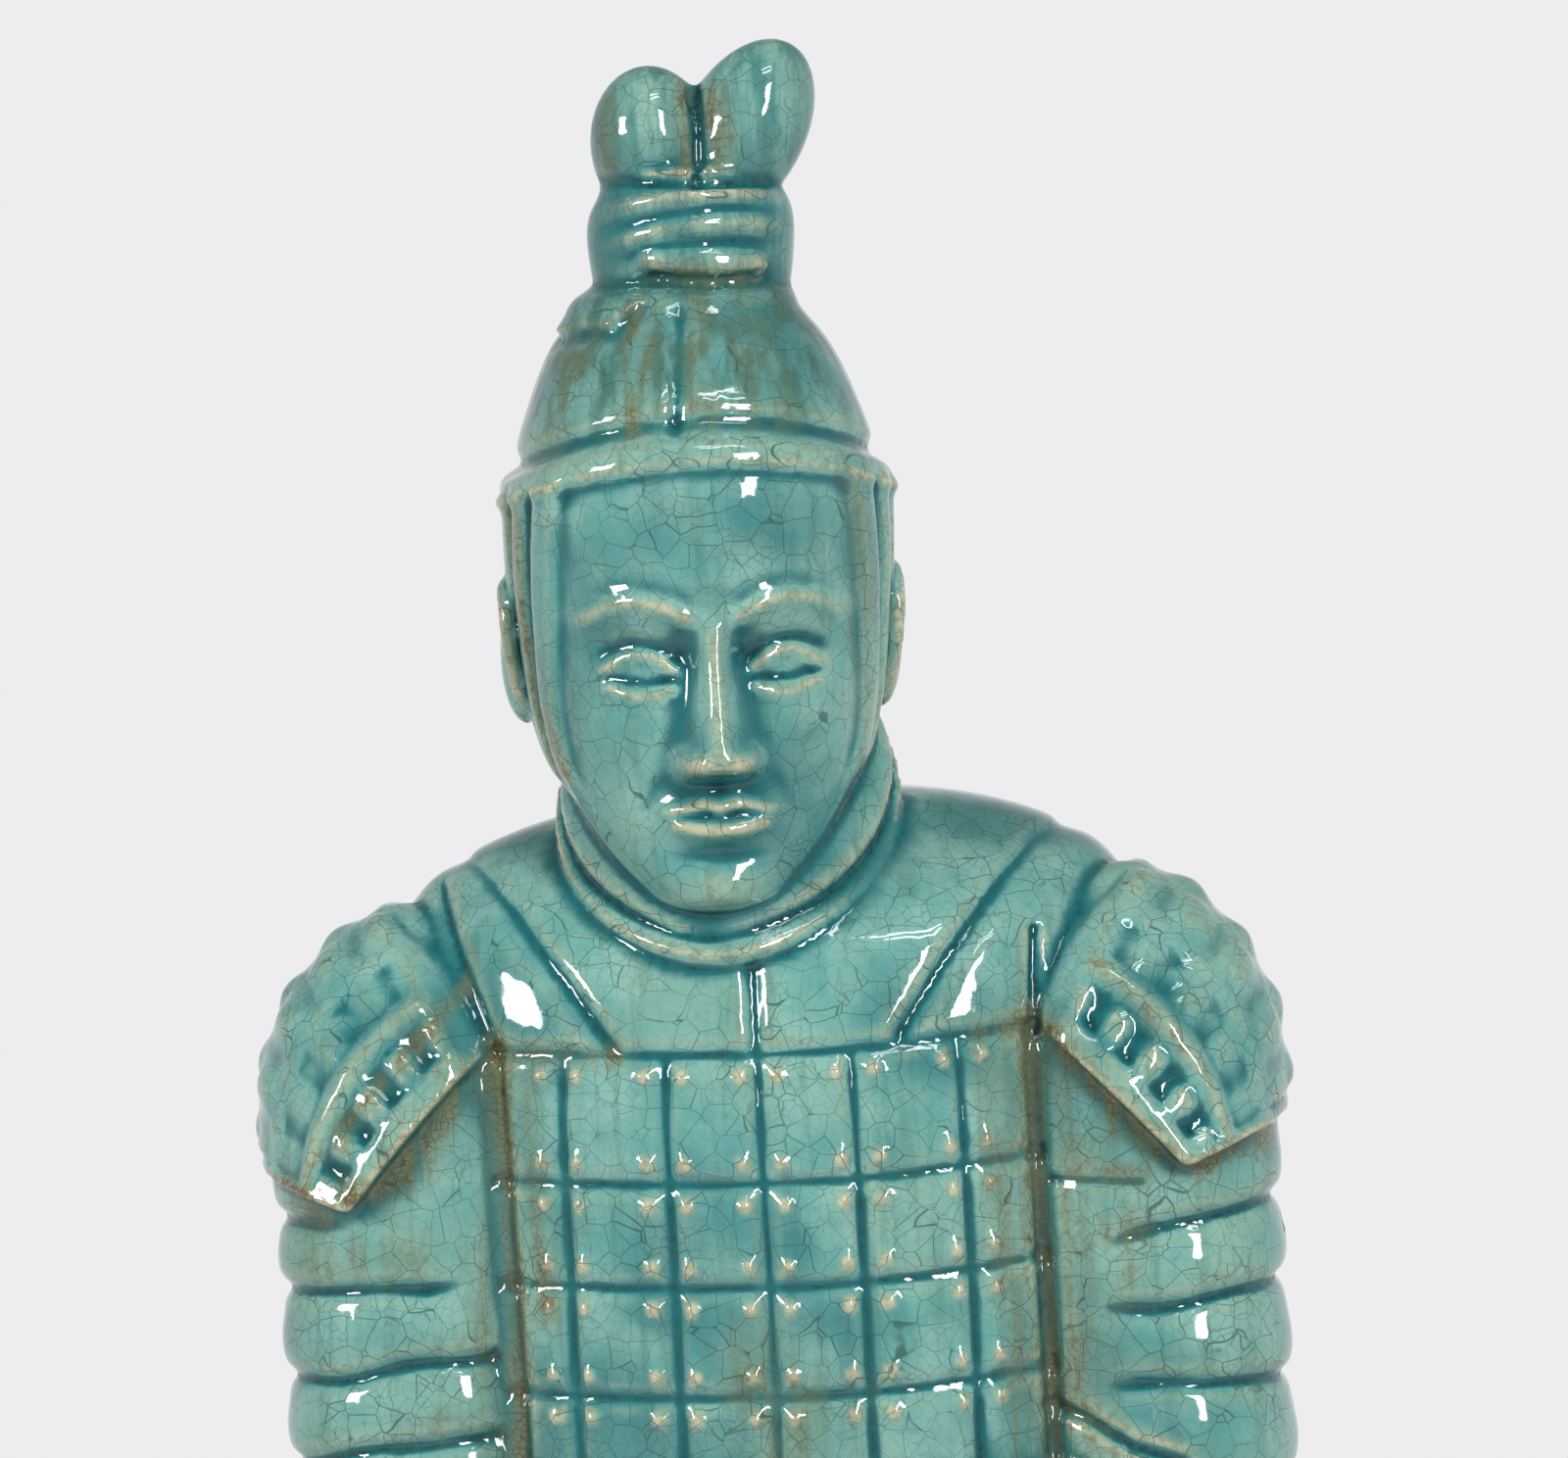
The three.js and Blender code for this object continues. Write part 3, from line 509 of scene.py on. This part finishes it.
# Each line of the face: height, half-width and its points as x and z
FACE_LINES = [
    (1.5, 1.6, [(4.6, 3.6), (8.6, 5.8), (13, 6.8), (18, 5.8), (22, 3.2)]),
    (1.4, 1.0, [(6.2, -6.2), (8.8, -3.8), (12.6, -2.7), (16.2, -3.6), (19, -6)]),
    (-0.8, 0.9, [(6.8, -3.2), (10, -0.9), (14.2, -0.5), (18.2, -2.2)]),
    (-1.3, 0.8, [(6.6, -6.9), (10, -7.3), (14.5, -7.2), (18.6, -6.7)]),
    (0.9, 0.9, [(6.8, -8.4), (10, -9.8), (14, -9.9), (18.4, -8.2)]),
    (-0.5, 1.5, [(8, -21.5), (10.6, -25), (12.3, -29)]),
    (1.5, 1.35, [(0, -28.7), (2.8, -28.1), (6, -28.9), (9.2, -30.1)]),
    (-1.5, 0.65, [(0, -30.5), (4, -30.1), (9.8, -30.6)]),
    (1.9, 1.7, [(0, -32.8), (3.5, -32.6), (7.2, -31.6)]),
]
# The nose from brow to lip: z, height and half-width
NOSE = [
    (-25.5, 0, 5), (-23.6, 3.2, 6), (-22, 8.4, 5.9), (-20, 9.9, 5.4), (-17, 9.0, 4.6),
    (-12, 6.6, 3.7), (-6, 4.7, 3.2), (0, 3.1, 3.2), (4, 1.0, 3.6), (8, 0, 4),
]
# The flaps' edges and grooves are bearings in radians from the middle of the face
FLAP = dict(front=0.76, back=1.62, top=22, bottom=-31, proud=1.8)
FLAP_GROOVES = [(1.06, 2.3), (1.31, 1.8)]
PARTING = in_head([(-6.7, -24, 515.5), (-7.2, -46, 490.5)])
STRAND = in_head([(-27, -24, 509), (-22.5, -30, 509.8), (-17.5, -32, 509.4), (-10.6, -22, 518)])


def face_relief(x, z):
    aside = np.abs(x)
    relief = sum(height * bell(aside - at, wide) * bell(z - level, tall)
                 for height, at, level, wide, tall in FACE_MOUNDS)
    relief = relief + sum(height * bell(from_line(aside, z, line), width)
                          for height, width, line in FACE_LINES)
    height, wide = smooth_curve(NOSE, z)
    return relief + np.clip(height, 0, 12) * np.exp(-np.abs(x / wide) ** 2.4)


def hair_relief(x, z, turn):
    """The parting, the combed strands and the loose strand in front of the topknot."""
    shown = rise(z, 28.5, 31) * rise(58 - z, 0, 5) * rise(np.cos(turn), -0.2, 0.2)
    combed = -0.08 * (1 + np.cos(34 * turn + 0.9 * np.sin(9 * turn))) * rise(z, 27, 40)
    relief = combed - 1.2 * bell(from_line(x, z, PARTING), 1.15)
    edge_x, edge_z = np.array(STRAND).T
    over = z - np.interp(x, edge_x, edge_z)
    beside = rise(-x, 2, 4.5) * rise(x, -36, -28)
    step = 2.1 * rise(over, -0.4, 0.9) * rise(13 - over, 0, 8) - 1.0 * bell(over + 1.2, 1.0)
    return (relief * (1 - beside * rise(over, -1, 0)) + step * beside) * shown


def skull(turn, fall):
    row = np.interp(fall, np.linspace(0, 1, len(SKULL_ROWS)), SKULL_ROWS)
    ahead = np.maximum(0, np.cos(turn)) ** 0.8
    arched = np.maximum(0, np.cos(turn)) ** 1.8 * rise(row, 2, 20) * rise(52 - row, 0, 25)
    z = row + BAND["rise"] * arched
    wide, front, back = smooth_curve(SKULL, z)
    bare = oval(turn, wide, (back + front) / 2, SKULL_SQUARENESS)
    band = BAND["proud"] * rise(row, BAND["bottom"], 21.4) * rise(BAND["top"] - row, 0, 2)
    band = band - BAND["hollow"] * bell(row - BAND["hollow_at"], 1.7)
    aside = np.abs(turn) + 0.006 * (row - 5)
    held = rise(FLAP["top"] - row, -1, 2) * rise(row - FLAP["bottom"], 0, 8)
    flap = FLAP["proud"] * rise(aside, FLAP["front"], FLAP["front"] + 0.1)
    flap = flap * rise(FLAP["back"] - aside, -0.05, 0.1)
    flap = flap - sum(depth * bell(aside - at, 0.042) for at, depth in FLAP_GROOVES)
    x = bare * np.sin(turn)
    reach = bare + (band + hair_relief(x, z, turn) + flap * held) * rise(wide, 5, 20)
    x = reach * np.sin(turn)
    y = (back - front) / 2 - reach * np.cos(turn)
    face = ahead * face_relief(x, z) * rise(19.5 - row, 0, 3)
    return x, y - face, z


shape(420, 340, skull, 1, HEAD)

EAR_RIM = [(32.6, 6, 3), (34, 0.5, 6), (34.2, -4, 1), (33.2, -4.5, -8), (31.2, -3, -16)]

for side in (1, -1):
    blob((31, 3, -6), (4.2, 7, 13), (8, 0, -12), side, HEAD)
    bar(EAR_RIM, 1.5, side, HEAD)

# The hair is drawn up, wound round and looped into two lobes, the right one leaning out. A pad of
# hair shows in front, where the winding is tucked in.
TOPKNOT = dict(x=1.2, y=8, wide=18.4, deep=16.5, bottom=48, top=78)
# The winding from the head up: height at the side, share of the full width, and how far it rises
# in front
WINDING = [
    (48, 0.88, 0), (52, 0.9, 0.5), (55, 0.92, 2), (60, 0.965, 4.2), (66, 0.99, 4.6),
    (70, 0.955, 3.6), (73, 0.87, 1.6), (76, 0.82, 0), (78, 0.8, 0),
]
# Its turns show in front as ridges and grooves: height at the side, relief and half-width
TURNS = [(70.4, 0.45, 1.5), (66, -1.4, 1.3), (63.2, 0.4, 1.4), (60.6, -1.0, 1.1), (56.9, -1.5, 1.3)]


def winding(turn, fall):
    tall = TOPKNOT["top"] - TOPKNOT["bottom"]
    row = TOPKNOT["top"] - tall * np.clip(fall * 1.04 - 0.02, 0, 1)
    share, lift = smooth_curve(WINDING, row)
    share = share * np.sqrt(np.clip(rise(np.minimum(fall, 1 - fall), 0, 0.03), 0, 1))
    reach = oval(turn, TOPKNOT["wide"] * share, TOPKNOT["deep"] * share, 2)
    in_front = rise(np.cos(turn), 0.3, 0.9)
    level = row - 1.1 * np.sin(turn)
    reach = reach + in_front * sum(relief * bell(level - at, width) for at, relief, width in TURNS)
    z = row + lift * np.maximum(0, np.cos(turn)) + 0.8 * np.sin(turn) * (row - 60) / 18
    return TOPKNOT["x"] + reach * np.sin(turn), TOPKNOT["y"] - reach * np.cos(turn), z


shape(240, 150, winding, 1, HEAD)
blob((2.4, -4.4, 61.4), (11.5, 4.6, 3.8), (0, 5, 0), 1, HEAD)
blob((TOPKNOT["x"] - 6.3, TOPKNOT["y"], 81.5), (10.6, 11, 13.6), (0, -2, 0), 1, HEAD, 110, 80)
blob((TOPKNOT["x"] + 9.8, TOPKNOT["y"], 83), (10.8, 12, 17.4), (0, 31, 0), 1, HEAD, 110, 80)
blob((TOPKNOT["x"], TOPKNOT["y"], 77.5), (10, 10, 14), (0, 0, 0), 1, HEAD, 60, 40)

# Below the armour the robe falls in flutes to the base, over the square toes of the shoes. The
# low base has rounded corners and a bare, unglazed foot.
ROBE = dict(y=2, top=238, bottom=17, flutes=10, depth=3.4, hem=40, crease=1.4)
# Its half-width and half-depth at the top, and what each gains by the hem
ROBE_WIDE, ROBE_DEEP, ROBE_SQUARENESS = (58, 7), (44, 5), 2.2
TOE = dict(x=24, y=-42, z=24, wide=16, deep=19, tall=10, squareness=3.2)
BASE = dict(width=150, depth=132, height=18, corner=18, chamfer=3, inner=60)


def robe(turn, fall):
    z = ROBE["top"] - (ROBE["top"] - ROBE["bottom"]) * np.clip(fall * 1.02 - 0.01, 0, 1)
    share = (ROBE["top"] - z) / (ROBE["top"] - ROBE["bottom"])
    flute = ROBE["depth"] * share * np.cos(ROBE["flutes"] * turn)
    crease = ROBE["crease"] * bell(z - ROBE["hem"], 1.6)
    wide, deep = ROBE_WIDE[0] + ROBE_WIDE[1] * share, ROBE_DEEP[0] + ROBE_DEEP[1] * share
    reach = oval(turn, wide, deep, ROBE_SQUARENESS) + flute - crease
    reach = reach * rise(np.minimum(fall, 1 - fall), 0, 0.01)
    return reach * np.sin(turn), ROBE["y"] - reach * np.cos(turn), z


shape(400, 240, robe)


def toe(turn, fall):
    level = np.cos(math.pi * fall)
    ring = np.sqrt(np.clip(1 - level * level, 0, 1))
    reach = ring * oval(turn, TOE["wide"], TOE["deep"], TOE["squareness"])
    x, y = TOE["x"] + reach * np.sin(turn), TOE["y"] - reach * np.cos(turn)
    return x, y, TOE["z"] + TOE["tall"] * level


for side in (1, -1):
    shape(80, 40, toe, side)


def base(turn, fall):
    half_wide, half_deep = BASE["width"] / 2, BASE["depth"] / 2
    tall, corner, cut = BASE["height"], BASE["corner"], BASE["chamfer"]
    level = [0, 0.25, 0.35, 0.65, 0.75, 1]
    z = np.interp(fall, level, [tall, tall, tall - cut, cut, 0, 0])
    inset = np.interp(fall, level, [BASE["inner"], cut, 0, 0, cut, BASE["inner"]])
    fine = np.linspace(-math.pi, math.pi, 4001)
    edge_x = (half_wide - corner) * np.sign(np.sin(fine)) + corner * np.sin(fine)
    edge_y = -(half_deep - corner) * np.sign(np.cos(fine)) - corner * np.cos(fine)
    bearing = np.arctan2(edge_x, -edge_y)
    x = np.interp(turn, bearing, edge_x, period=2 * math.pi)
    y = np.interp(turn, bearing, edge_y, period=2 * math.pi)
    shrink = np.where(inset >= BASE["inner"], 0, 1 - inset / np.hypot(x, y))
    return x * shrink, y * shrink, z


shape(240, 60, base)

# The forms are joined into one body and softened as under a thick glaze. Then the deep joints and
# the chips are cut in it, and its hollows and ridges are measured, because the glaze pools dark in
# the narrow hollows and runs thin and pale off the ridges. The broad hollows are darkened as well,
# partly as pooled glaze and partly as painted shade.
VOXEL = 0.0007
FACES = 194000
CHIP_DEPTH = 0.55
# Cuts seen from the front: depth, half-width, and points as x and z
CUTS = [
    (1.5, 1.3, [(-45.6, 386), (-45.1, 356), (-44.8, 319), (-45.5, 296)]),
    (1.5, 1.3, [(46.6, 385), (46.4, 351), (46.6, 319), (46, 296)]),
    (1.0, 1.2, [(-57, 417.5), (-52.8, 405.5), (-45.6, 386)]),
    (1.3, 1.0, [(48.2, 402), (47.2, 384)]),
    (0.7, 0.8, [(48.5, 359.3), (56, 358.8), (64, 358.2)]),
    (1.4, 1.3, [(46.5, 320.5), (53, 317.5), (60, 313), (68, 310)]),
    (1.8, 1.0, [(-2.6, 553), (-1.6, 545), (-1.9, 534)]),
    (0.9, 1.0, [(-21, 536), (-11.7, 534.4), (0, 533.4), (9.6, 533.4)]),
    (0.8, 1.0, [(-10.5, 518), (-1, 516.3), (8.4, 517.4)]),
]
# Chips in the glaze: centre and half-sizes
CHIPS = [
    ((9.3, -3, 559.2), (6.2, 7, 1.8)), ((-12.3, -4, 555.2), (1.4, 1.6, 0.9)),
    ((-88.2, -16, 322.5), (3.4, 4, 5)), ((86.8, -14, 346), (1.6, 2.6, 4)),
    ((-86, -20, 316), (1.6, 2, 2.4)), ((64, -20, 409), (0.9, 0.9, 0.7)),
]

joined = bpy.data.meshes.new("joined")
clay.to_mesh(joined)
clay.free()
figure = bpy.data.objects.new("ceramic_figure_glazed", joined)
bpy.context.collection.objects.link(figure)
remesh = figure.modifiers.new("joined", "REMESH")
remesh.mode = "VOXEL"
remesh.voxel_size = VOXEL
dense = bpy.data.meshes.new_from_object(
    figure.evaluated_get(bpy.context.evaluated_depsgraph_get()))
figure.modifiers.clear()

count = len(dense.vertices)
points = np.empty(3 * count, np.float32)
dense.vertices.foreach_get("co", points)
points = points.reshape(-1, 3).astype(float) / MM
edges = np.empty(2 * len(dense.edges), np.int32)
dense.edges.foreach_get("vertices", edges)
one, two = edges[0::2], edges[1::2]
neighbours = np.bincount(one, minlength=count) + np.bincount(two, minlength=count)


def average(values):
    """Each value's mean over its neighbours."""
    columns = []
    for column in values.T:
        total = np.bincount(one, column[two], count) + np.bincount(two, column[one], count)
        columns.append(total / neighbours)
    return np.stack(columns, axis=1)


def relax(values, rounds, pull=0.6):
    for _ in range(rounds):
        values = values + pull * (average(values) - values)
    return values


def surface_normals():
    dense.vertices.foreach_set("co", (MM * points).astype(np.float32).ravel())
    dense.update()
    found = np.empty(3 * count, np.float32)
    dense.vertices.foreach_get("normal", found)
    return found.reshape(-1, 3).astype(float)


points = relax(points, 2)
normals = surface_normals()
facing = rise(-normals[:, 1], 0.1, 0.45) * (points[:, 1] < 0)
for depth, width, line in CUTS:
    cut = depth * bell(from_line(points[:, 0], points[:, 2], line), width) * facing
    points = points - cut[:, None] * normals
for centre, size in CHIPS:
    away = np.linalg.norm((points - np.array(centre)) / np.array(size), axis=1)
    ragged = 0.2 * np.sin(1.9 * points[:, 0] + 1.1 * points[:, 1]) * np.sin(2.3 * points[:, 2])
    bite = CHIP_DEPTH * rise(1.1 - away + ragged, 0, 0.35)
    points = points - bite[:, None] * normals
points = relax(points, 1)
normals = surface_normals()

crisp = relax(points, 4)
near = relax(crisp, 10)
far = relax(near, 80)
RELIEFS = dict(
    edge_relief=np.sum((points - crisp) * normals, axis=1),
    pool_relief=np.sum((points - near) * normals, axis=1),
    # broad_relief sets where broad hollows are darkened: partly pooled glaze, partly painted shade
    broad_relief=np.sum((near - far) * normals, axis=1),
)

# Iron from the clay stains the glaze olive and brown along some edges, and runs down the hair in
# streaks. The same olive is also laid on the sleeves just under the guards' hems as painted shadow.
# Each line: strength, half-width, and points as x and z seen from the front
STAINS_AND_GUARD_SHADOWS = [
    (0.9, 3.2, [(-45.5, 386), (-45.1, 356), (-45, 300)]), (0.7, 2.2, [(-41, 382), (-39, 340)]),
    (0.8, 2.6, [(46.6, 386), (46.4, 351), (46.5, 300)]), (0.6, 2.2, [(50, 382), (50.5, 358)]),
    (1.0, 2.2, [(-45, 386), (-55, 375), (-66, 363.5), (-87, 365)]),
    (0.9, 2.0, [(47, 388), (58, 374), (71.5, 359), (87, 364)]),
    (0.7, 1.6, [(-50.7, 397.5), (-62, 385), (-77, 370)]), (0.5, 1.6, [(58, 397), (75, 377)]),
    (0.7, 2.0, [(-45, 386), (-34, 385.4), (-24, 384.6)]), (0.7, 2.4, [(46, 386), (39, 385)]),
    (0.8, 2.6, [(-12, 512), (-14.5, 490)]), (0.7, 2.0, [(-3.5, 512), (-1.2, 490)]),
    (0.35, 5, [(5, 512), (9, 492)]), (0.45, 4, [(-24, 505), (-31, 488)]),
    (0.8, 1.5, [(-4.2, 550), (-4, 536)]), (0.8, 2.4, [(1.6, 549), (3, 537)]),
    (0.5, 2.2, [(-17, 550), (-18, 538)]), (0.5, 1.8, [(-10, 518), (6, 516.6)]),
    (0.7, 2.0, [(-37.5, 478), (-35.5, 446), (-31, 434)]), (0.45, 2.0, [(22, 480), (22.5, 440)]),
    # The bands at z 352 and 360 on the left sleeve and at z 360 on the right, just under the
    # guards' hems, are painted shadow of the guards, not stains
    (0.6, 7, [(-4, 331), (2, 322), (0, 308)]), (0.7, 4, [(-88, 360), (-76, 360)]),
    (0.5, 3, [(52, 360), (66, 360)]), (0.7, 3.0, [(50, 352), (57, 349)]),
    (0.5, 4, [(-82, 352), (-60, 353)]), (0.4, 4, [(-60, 323), (-48, 326)]),
    (0.6, 4.5, [(53, 346), (50.5, 302)]), (0.5, 3, [(62, 351), (60, 338)]),
    (0.5, 3.5, [(-51, 352), (-49, 302)]), (0.5, 3, [(40, 380), (41, 300)]),
]
stain_and_shadow = np.zeros(count)
for strength, width, line in STAINS_AND_GUARD_SHADOWS:
    spread = strength * bell(from_line(points[:, 0], points[:, 2], line), width)
    stain_and_shadow = np.maximum(stain_and_shadow, spread * rise(-normals[:, 1], -0.3, 0.3))
RELIEFS["stain_and_shadow"] = stain_and_shadow

figure.data = dense
thin = figure.modifiers.new("thinned", "DECIMATE")
thin.ratio = FACES / (2 * len(dense.polygons))
final = bpy.data.meshes.new_from_object(
    figure.evaluated_get(bpy.context.evaluated_depsgraph_get()))
figure.modifiers.clear()
final.name = "ceramic_figure_glazed"
figure.data = final

finder = KDTree(count)
for index, point in enumerate(points * MM):
    finder.insert(point, index)
finder.balance()
matched = np.array([finder.find(vertex.co)[1] for vertex in final.vertices])
for name, values in RELIEFS.items():
    layer = final.attributes.new(name, "FLOAT", "POINT")
    layer.data.foreach_set("value", values[matched].astype(np.float32))
final.polygons.foreach_set("use_smooth", np.ones(len(final.polygons), bool))
final.normals_split_custom_set_from_vertices([tuple(normal) for normal in normals[matched]])

# The glaze is a clear turquoise over pale clay, crazed all over: fine dark cracks in cells of about
# 5 mm and 2.5 mm, with finer brown ones where iron has crept in and in the painted shadow under
# the guards' hems. The foot is bare and brown.
glaze = bpy.data.materials.new("crackled_glaze")
glaze.use_nodes = True
skin = glaze.node_tree.nodes["Principled BSDF"]


def mixed(tree, share, one, two):
    return add(tree, "Mix", {0: share, 6: one, 7: two}, data_type="RGBA").outputs[2]


def ramp(tree, value, low, high, to=(0.0, 1.0)):
    """A smooth step from low to high."""
    return between(tree, value, (low, to[0]), (high, to[1]), "SMOOTHSTEP")


def larger(tree, one, two):
    return add(tree, "Math", {0: one, 1: two}, operation="MAXIMUM").outputs[0]


def noise(tree, where, scale, detail=2.0, roughness=0.5):
    return add(tree, "TexNoise", {"Vector": where, "Scale": scale, "Detail": detail,
                                  "Roughness": roughness})


cracks = bpy.data.node_groups.new("crackle", "ShaderNodeTree")
for name, kind in (("Place", "NodeSocketVector"), ("Cells", "NodeSocketFloat"),
                   ("Line", "NodeSocketFloat"), ("Waver", "NodeSocketFloat")):
    cracks.interface.new_socket(name, in_out="INPUT", socket_type=kind)
cracks.interface.new_socket("Crack", in_out="OUTPUT", socket_type="NodeSocketFloat")
given, result = cracks.nodes.new("NodeGroupInput"), cracks.nodes.new("NodeGroupOutput")
bend = noise(cracks, given.outputs["Place"], 110.0, 2.0)
shifted = add(cracks, "VectorMath", {0: bend.outputs["Color"], 1: (0.5, 0.5, 0.5)},
              operation="SUBTRACT")
scaled = add(cracks, "VectorMath", {0: shifted.outputs[0], "Scale": given.outputs["Waver"]},
             operation="SCALE")
bent = add(cracks, "VectorMath", {0: given.outputs["Place"], 1: scaled.outputs[0]},
           operation="ADD")
cells = add(cracks, "TexVoronoi", {"Vector": bent.outputs[0], "Scale": given.outputs["Cells"],
                                   "Randomness": 0.9}, feature="DISTANCE_TO_EDGE")
width = times(cracks, given.outputs["Line"],
              ramp(cracks, noise(cracks, given.outputs["Place"], 60.0).outputs["Fac"], 0.3, 0.7,
                   (0.45, 1.3)))
line = add(cracks, "Math", {0: cells.outputs["Distance"], 1: width}, operation="DIVIDE")
cracks.links.new(ramp(cracks, line.outputs[0], 1.6, 0.4), result.inputs["Crack"])

tree = glaze.node_tree
place = add(tree, "TexCoord", {}).outputs["Object"]


def measured(name):
    return add(tree, "Attribute", {}, attribute_name=name).outputs["Fac"]


def crackle(cells, line, waver):
    group = add(tree, "Group", {}, node_tree=cracks)
    tree.links.new(place, group.inputs["Place"])
    for name, value in (("Cells", cells), ("Line", line), ("Waver", waver)):
        group.inputs[name].default_value = value
    return group.outputs["Crack"]


# The glaze's colours over the clay, from thick to thin, and those of its stains, cracks and chips
TURQUOISE, TURQUOISE_PALE = (0.105, 0.298, 0.274, 1), (0.19, 0.378, 0.33, 1)
# The dark teal also serves as painted shade in broad hollows
POOL_AND_SHADE_TEAL, DEEPEST = (0.012, 0.128, 0.138, 1), (0.003, 0.038, 0.045, 1)
SAGE, CREAM = (0.235, 0.375, 0.285, 1), (0.55, 0.48, 0.32, 1)
STREAKED = (0.035, 0.11, 0.085, 1)
OLIVE, BROWN = (0.19, 0.19, 0.075, 1), (0.14, 0.075, 0.025, 1)
CRACK, CRACK_BROWN = (0.028, 0.085, 0.075, 1), (0.075, 0.045, 0.02, 1)
BARE, CHIPPED = (0.14, 0.08, 0.045, 1), (0.055, 0.045, 0.04, 1)
# The crackle's sizes: cells in a metre, share of a cell that a line takes, and waver in metres
COARSE, FINE, TINY = (205.0, 0.013, 0.002), (420.0, 0.02, 0.0015), (800.0, 0.06, 0.002)
# Heights in metres: where the hair starts over the band and ends at the topknot, and where the
# glaze ends over the foot
HAIR_FROM, HAIR_TO = (0.486, 0.5), (0.514, 0.524)
FOOT = (0.0065, 0.0075)

cloud = noise(tree, place, 75.0, 4.0, 0.55).outputs["Fac"]
patches = noise(tree, place, 30.0, 3.0, 0.5).outputs["Fac"]
flecks = noise(tree, place, 620.0, 3.0, 0.6).outputs["Fac"]
drawn_out = add(tree, "Mapping", {"Vector": place, "Scale": (280.0, 130.0, 24.0)})
streaks = noise(tree, drawn_out.outputs["Vector"], 1.0, 3.0, 0.6).outputs["Fac"]

height = add(tree, "SeparateXYZ", {"Vector": place}).outputs["Z"]
edge, pool, broad = measured("edge_relief"), measured("pool_relief"), measured("broad_relief")
# Stains, and the painted shadow under the guards' hems, broken up by streaks
stain_and_shadow_mask = times(tree, measured("stain_and_shadow"), ramp(tree, streaks, 0.34, 0.62, (0.25, 1.0)))
deep = times(tree, ramp(tree, pool, -0.1, -0.34), ramp(tree, flecks, 0.36, 0.6, (0.5, 0.95)))
worn = times(tree, ramp(tree, pool, 0.06, 0.25), ramp(tree, flecks, 0.42, 0.66))
crown = times(tree, ramp(tree, height, *HAIR_FROM), ramp(tree, height, *reversed(HAIR_TO)))
combed = times(tree, crown, ramp(tree, streaks, 0.38, 0.6))
loops = times(tree, ramp(tree, height, *HAIR_TO), ramp(tree, streaks, 0.36, 0.6))
brown_on_stain_and_shadow = times(tree, stain_and_shadow_mask, ramp(tree, flecks, 0.42, 0.62))

fine = times(tree, crackle(*FINE), ramp(tree, cloud, 0.4, 0.6, (0.2, 0.7)))
tiny = times(tree, crackle(*TINY), ramp(tree, stain_and_shadow_mask, 0.25, 0.8))
veins = larger(tree, crackle(*COARSE), larger(tree, fine, tiny))
ink = mixed(tree, ramp(tree, stain_and_shadow_mask, 0.1, 0.6), CRACK, CRACK_BROWN)

# Each tint over the turquoise, from the lowest up: where it lies, how strongly, and its colour
TINTS = [
    (ramp(tree, patches, 0.47, 0.68), 0.6, POOL_AND_SHADE_TEAL), (ramp(tree, patches, 0.48, 0.3), 0.4, SAGE),
    # In broad hollows the dark teal is partly pooled glaze and partly painted shade
    (ramp(tree, broad, -0.02, -0.5), 0.85, POOL_AND_SHADE_TEAL), (ramp(tree, pool, 0.01, -0.17), 1.0, POOL_AND_SHADE_TEAL),
    (deep, 1.0, DEEPEST), (ramp(tree, pool, 0.03, 0.22), 0.65, SAGE),
    (ramp(tree, edge, 0.05, 0.16), 0.75, CREAM), (worn, 0.4, OLIVE),
    # The olive, and the brown on its ridges two entries on, are stains and, under the guards' hems,
    # painted shadow
    (ramp(tree, streaks, 0.5, 0.7), 0.3, STREAKED), (crown, 0.3, POOL_AND_SHADE_TEAL), (loops, 0.55, POOL_AND_SHADE_TEAL),
    (combed, 0.72, STREAKED), (stain_and_shadow_mask, 0.75, OLIVE),
    (times(tree, brown_on_stain_and_shadow, ramp(tree, edge, -0.02, 0.08)), 1.0, BROWN),
    (ramp(tree, flecks, 0.5, 0.75), 0.16, POOL_AND_SHADE_TEAL), (veins, 0.8, ink),
]
colour = mixed(tree, ramp(tree, cloud, 0.36, 0.64), TURQUOISE, TURQUOISE_PALE)
for share, strength, tint in TINTS:
    colour = mixed(tree, times(tree, share, strength), colour, tint)

chipped = None
ragged = noise(tree, place, 420.0, 3.0, 0.6)
for centre, size in CHIPS:
    away = add(tree, "VectorMath", {0: place, 1: tuple(MM * value for value in centre)},
               operation="SUBTRACT")
    away = add(tree, "VectorMath", {0: away.outputs[0], 1: tuple(MM * value for value in size)},
               operation="DIVIDE")
    away = add(tree, "VectorMath", {0: away.outputs[0]}, operation="LENGTH")
    bitten = add(tree, "Math", {0: away.outputs["Value"], 1: ragged.outputs["Fac"]},
                 operation="ADD").outputs[0]
    chip = ramp(tree, bitten, 1.56, 1.46)
    chipped = chip if chipped is None else larger(tree, chipped, chip)
wavy = add(tree, "Math", {0: noise(tree, place, 60.0).outputs["Fac"], 1: 0.004, 2: height},
           operation="MULTIPLY_ADD").outputs[0]
foot = ramp(tree, wavy, *reversed(FOOT))
colour = mixed(tree, chipped, mixed(tree, foot, colour, BARE), CHIPPED)
tree.links.new(colour, skin.inputs["Base Color"])
dull = larger(tree, chipped, foot)
gloss = ramp(tree, flecks, 0.3, 0.7, (0.045, 0.085))
tree.links.new(larger(tree, times(tree, dull, 0.75), gloss), skin.inputs["Roughness"])

ripple = noise(tree, place, 190.0, 2.0).outputs["Fac"]
bump = add(tree, "Bump", {"Height": ripple, "Strength": 0.35, "Distance": 0.00025})
tree.links.new(bump.outputs["Normal"], skin.inputs["Normal"])
final.materials.clear()
final.materials.append(glaze)

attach(figure, "root")
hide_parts("ceramic_figure")
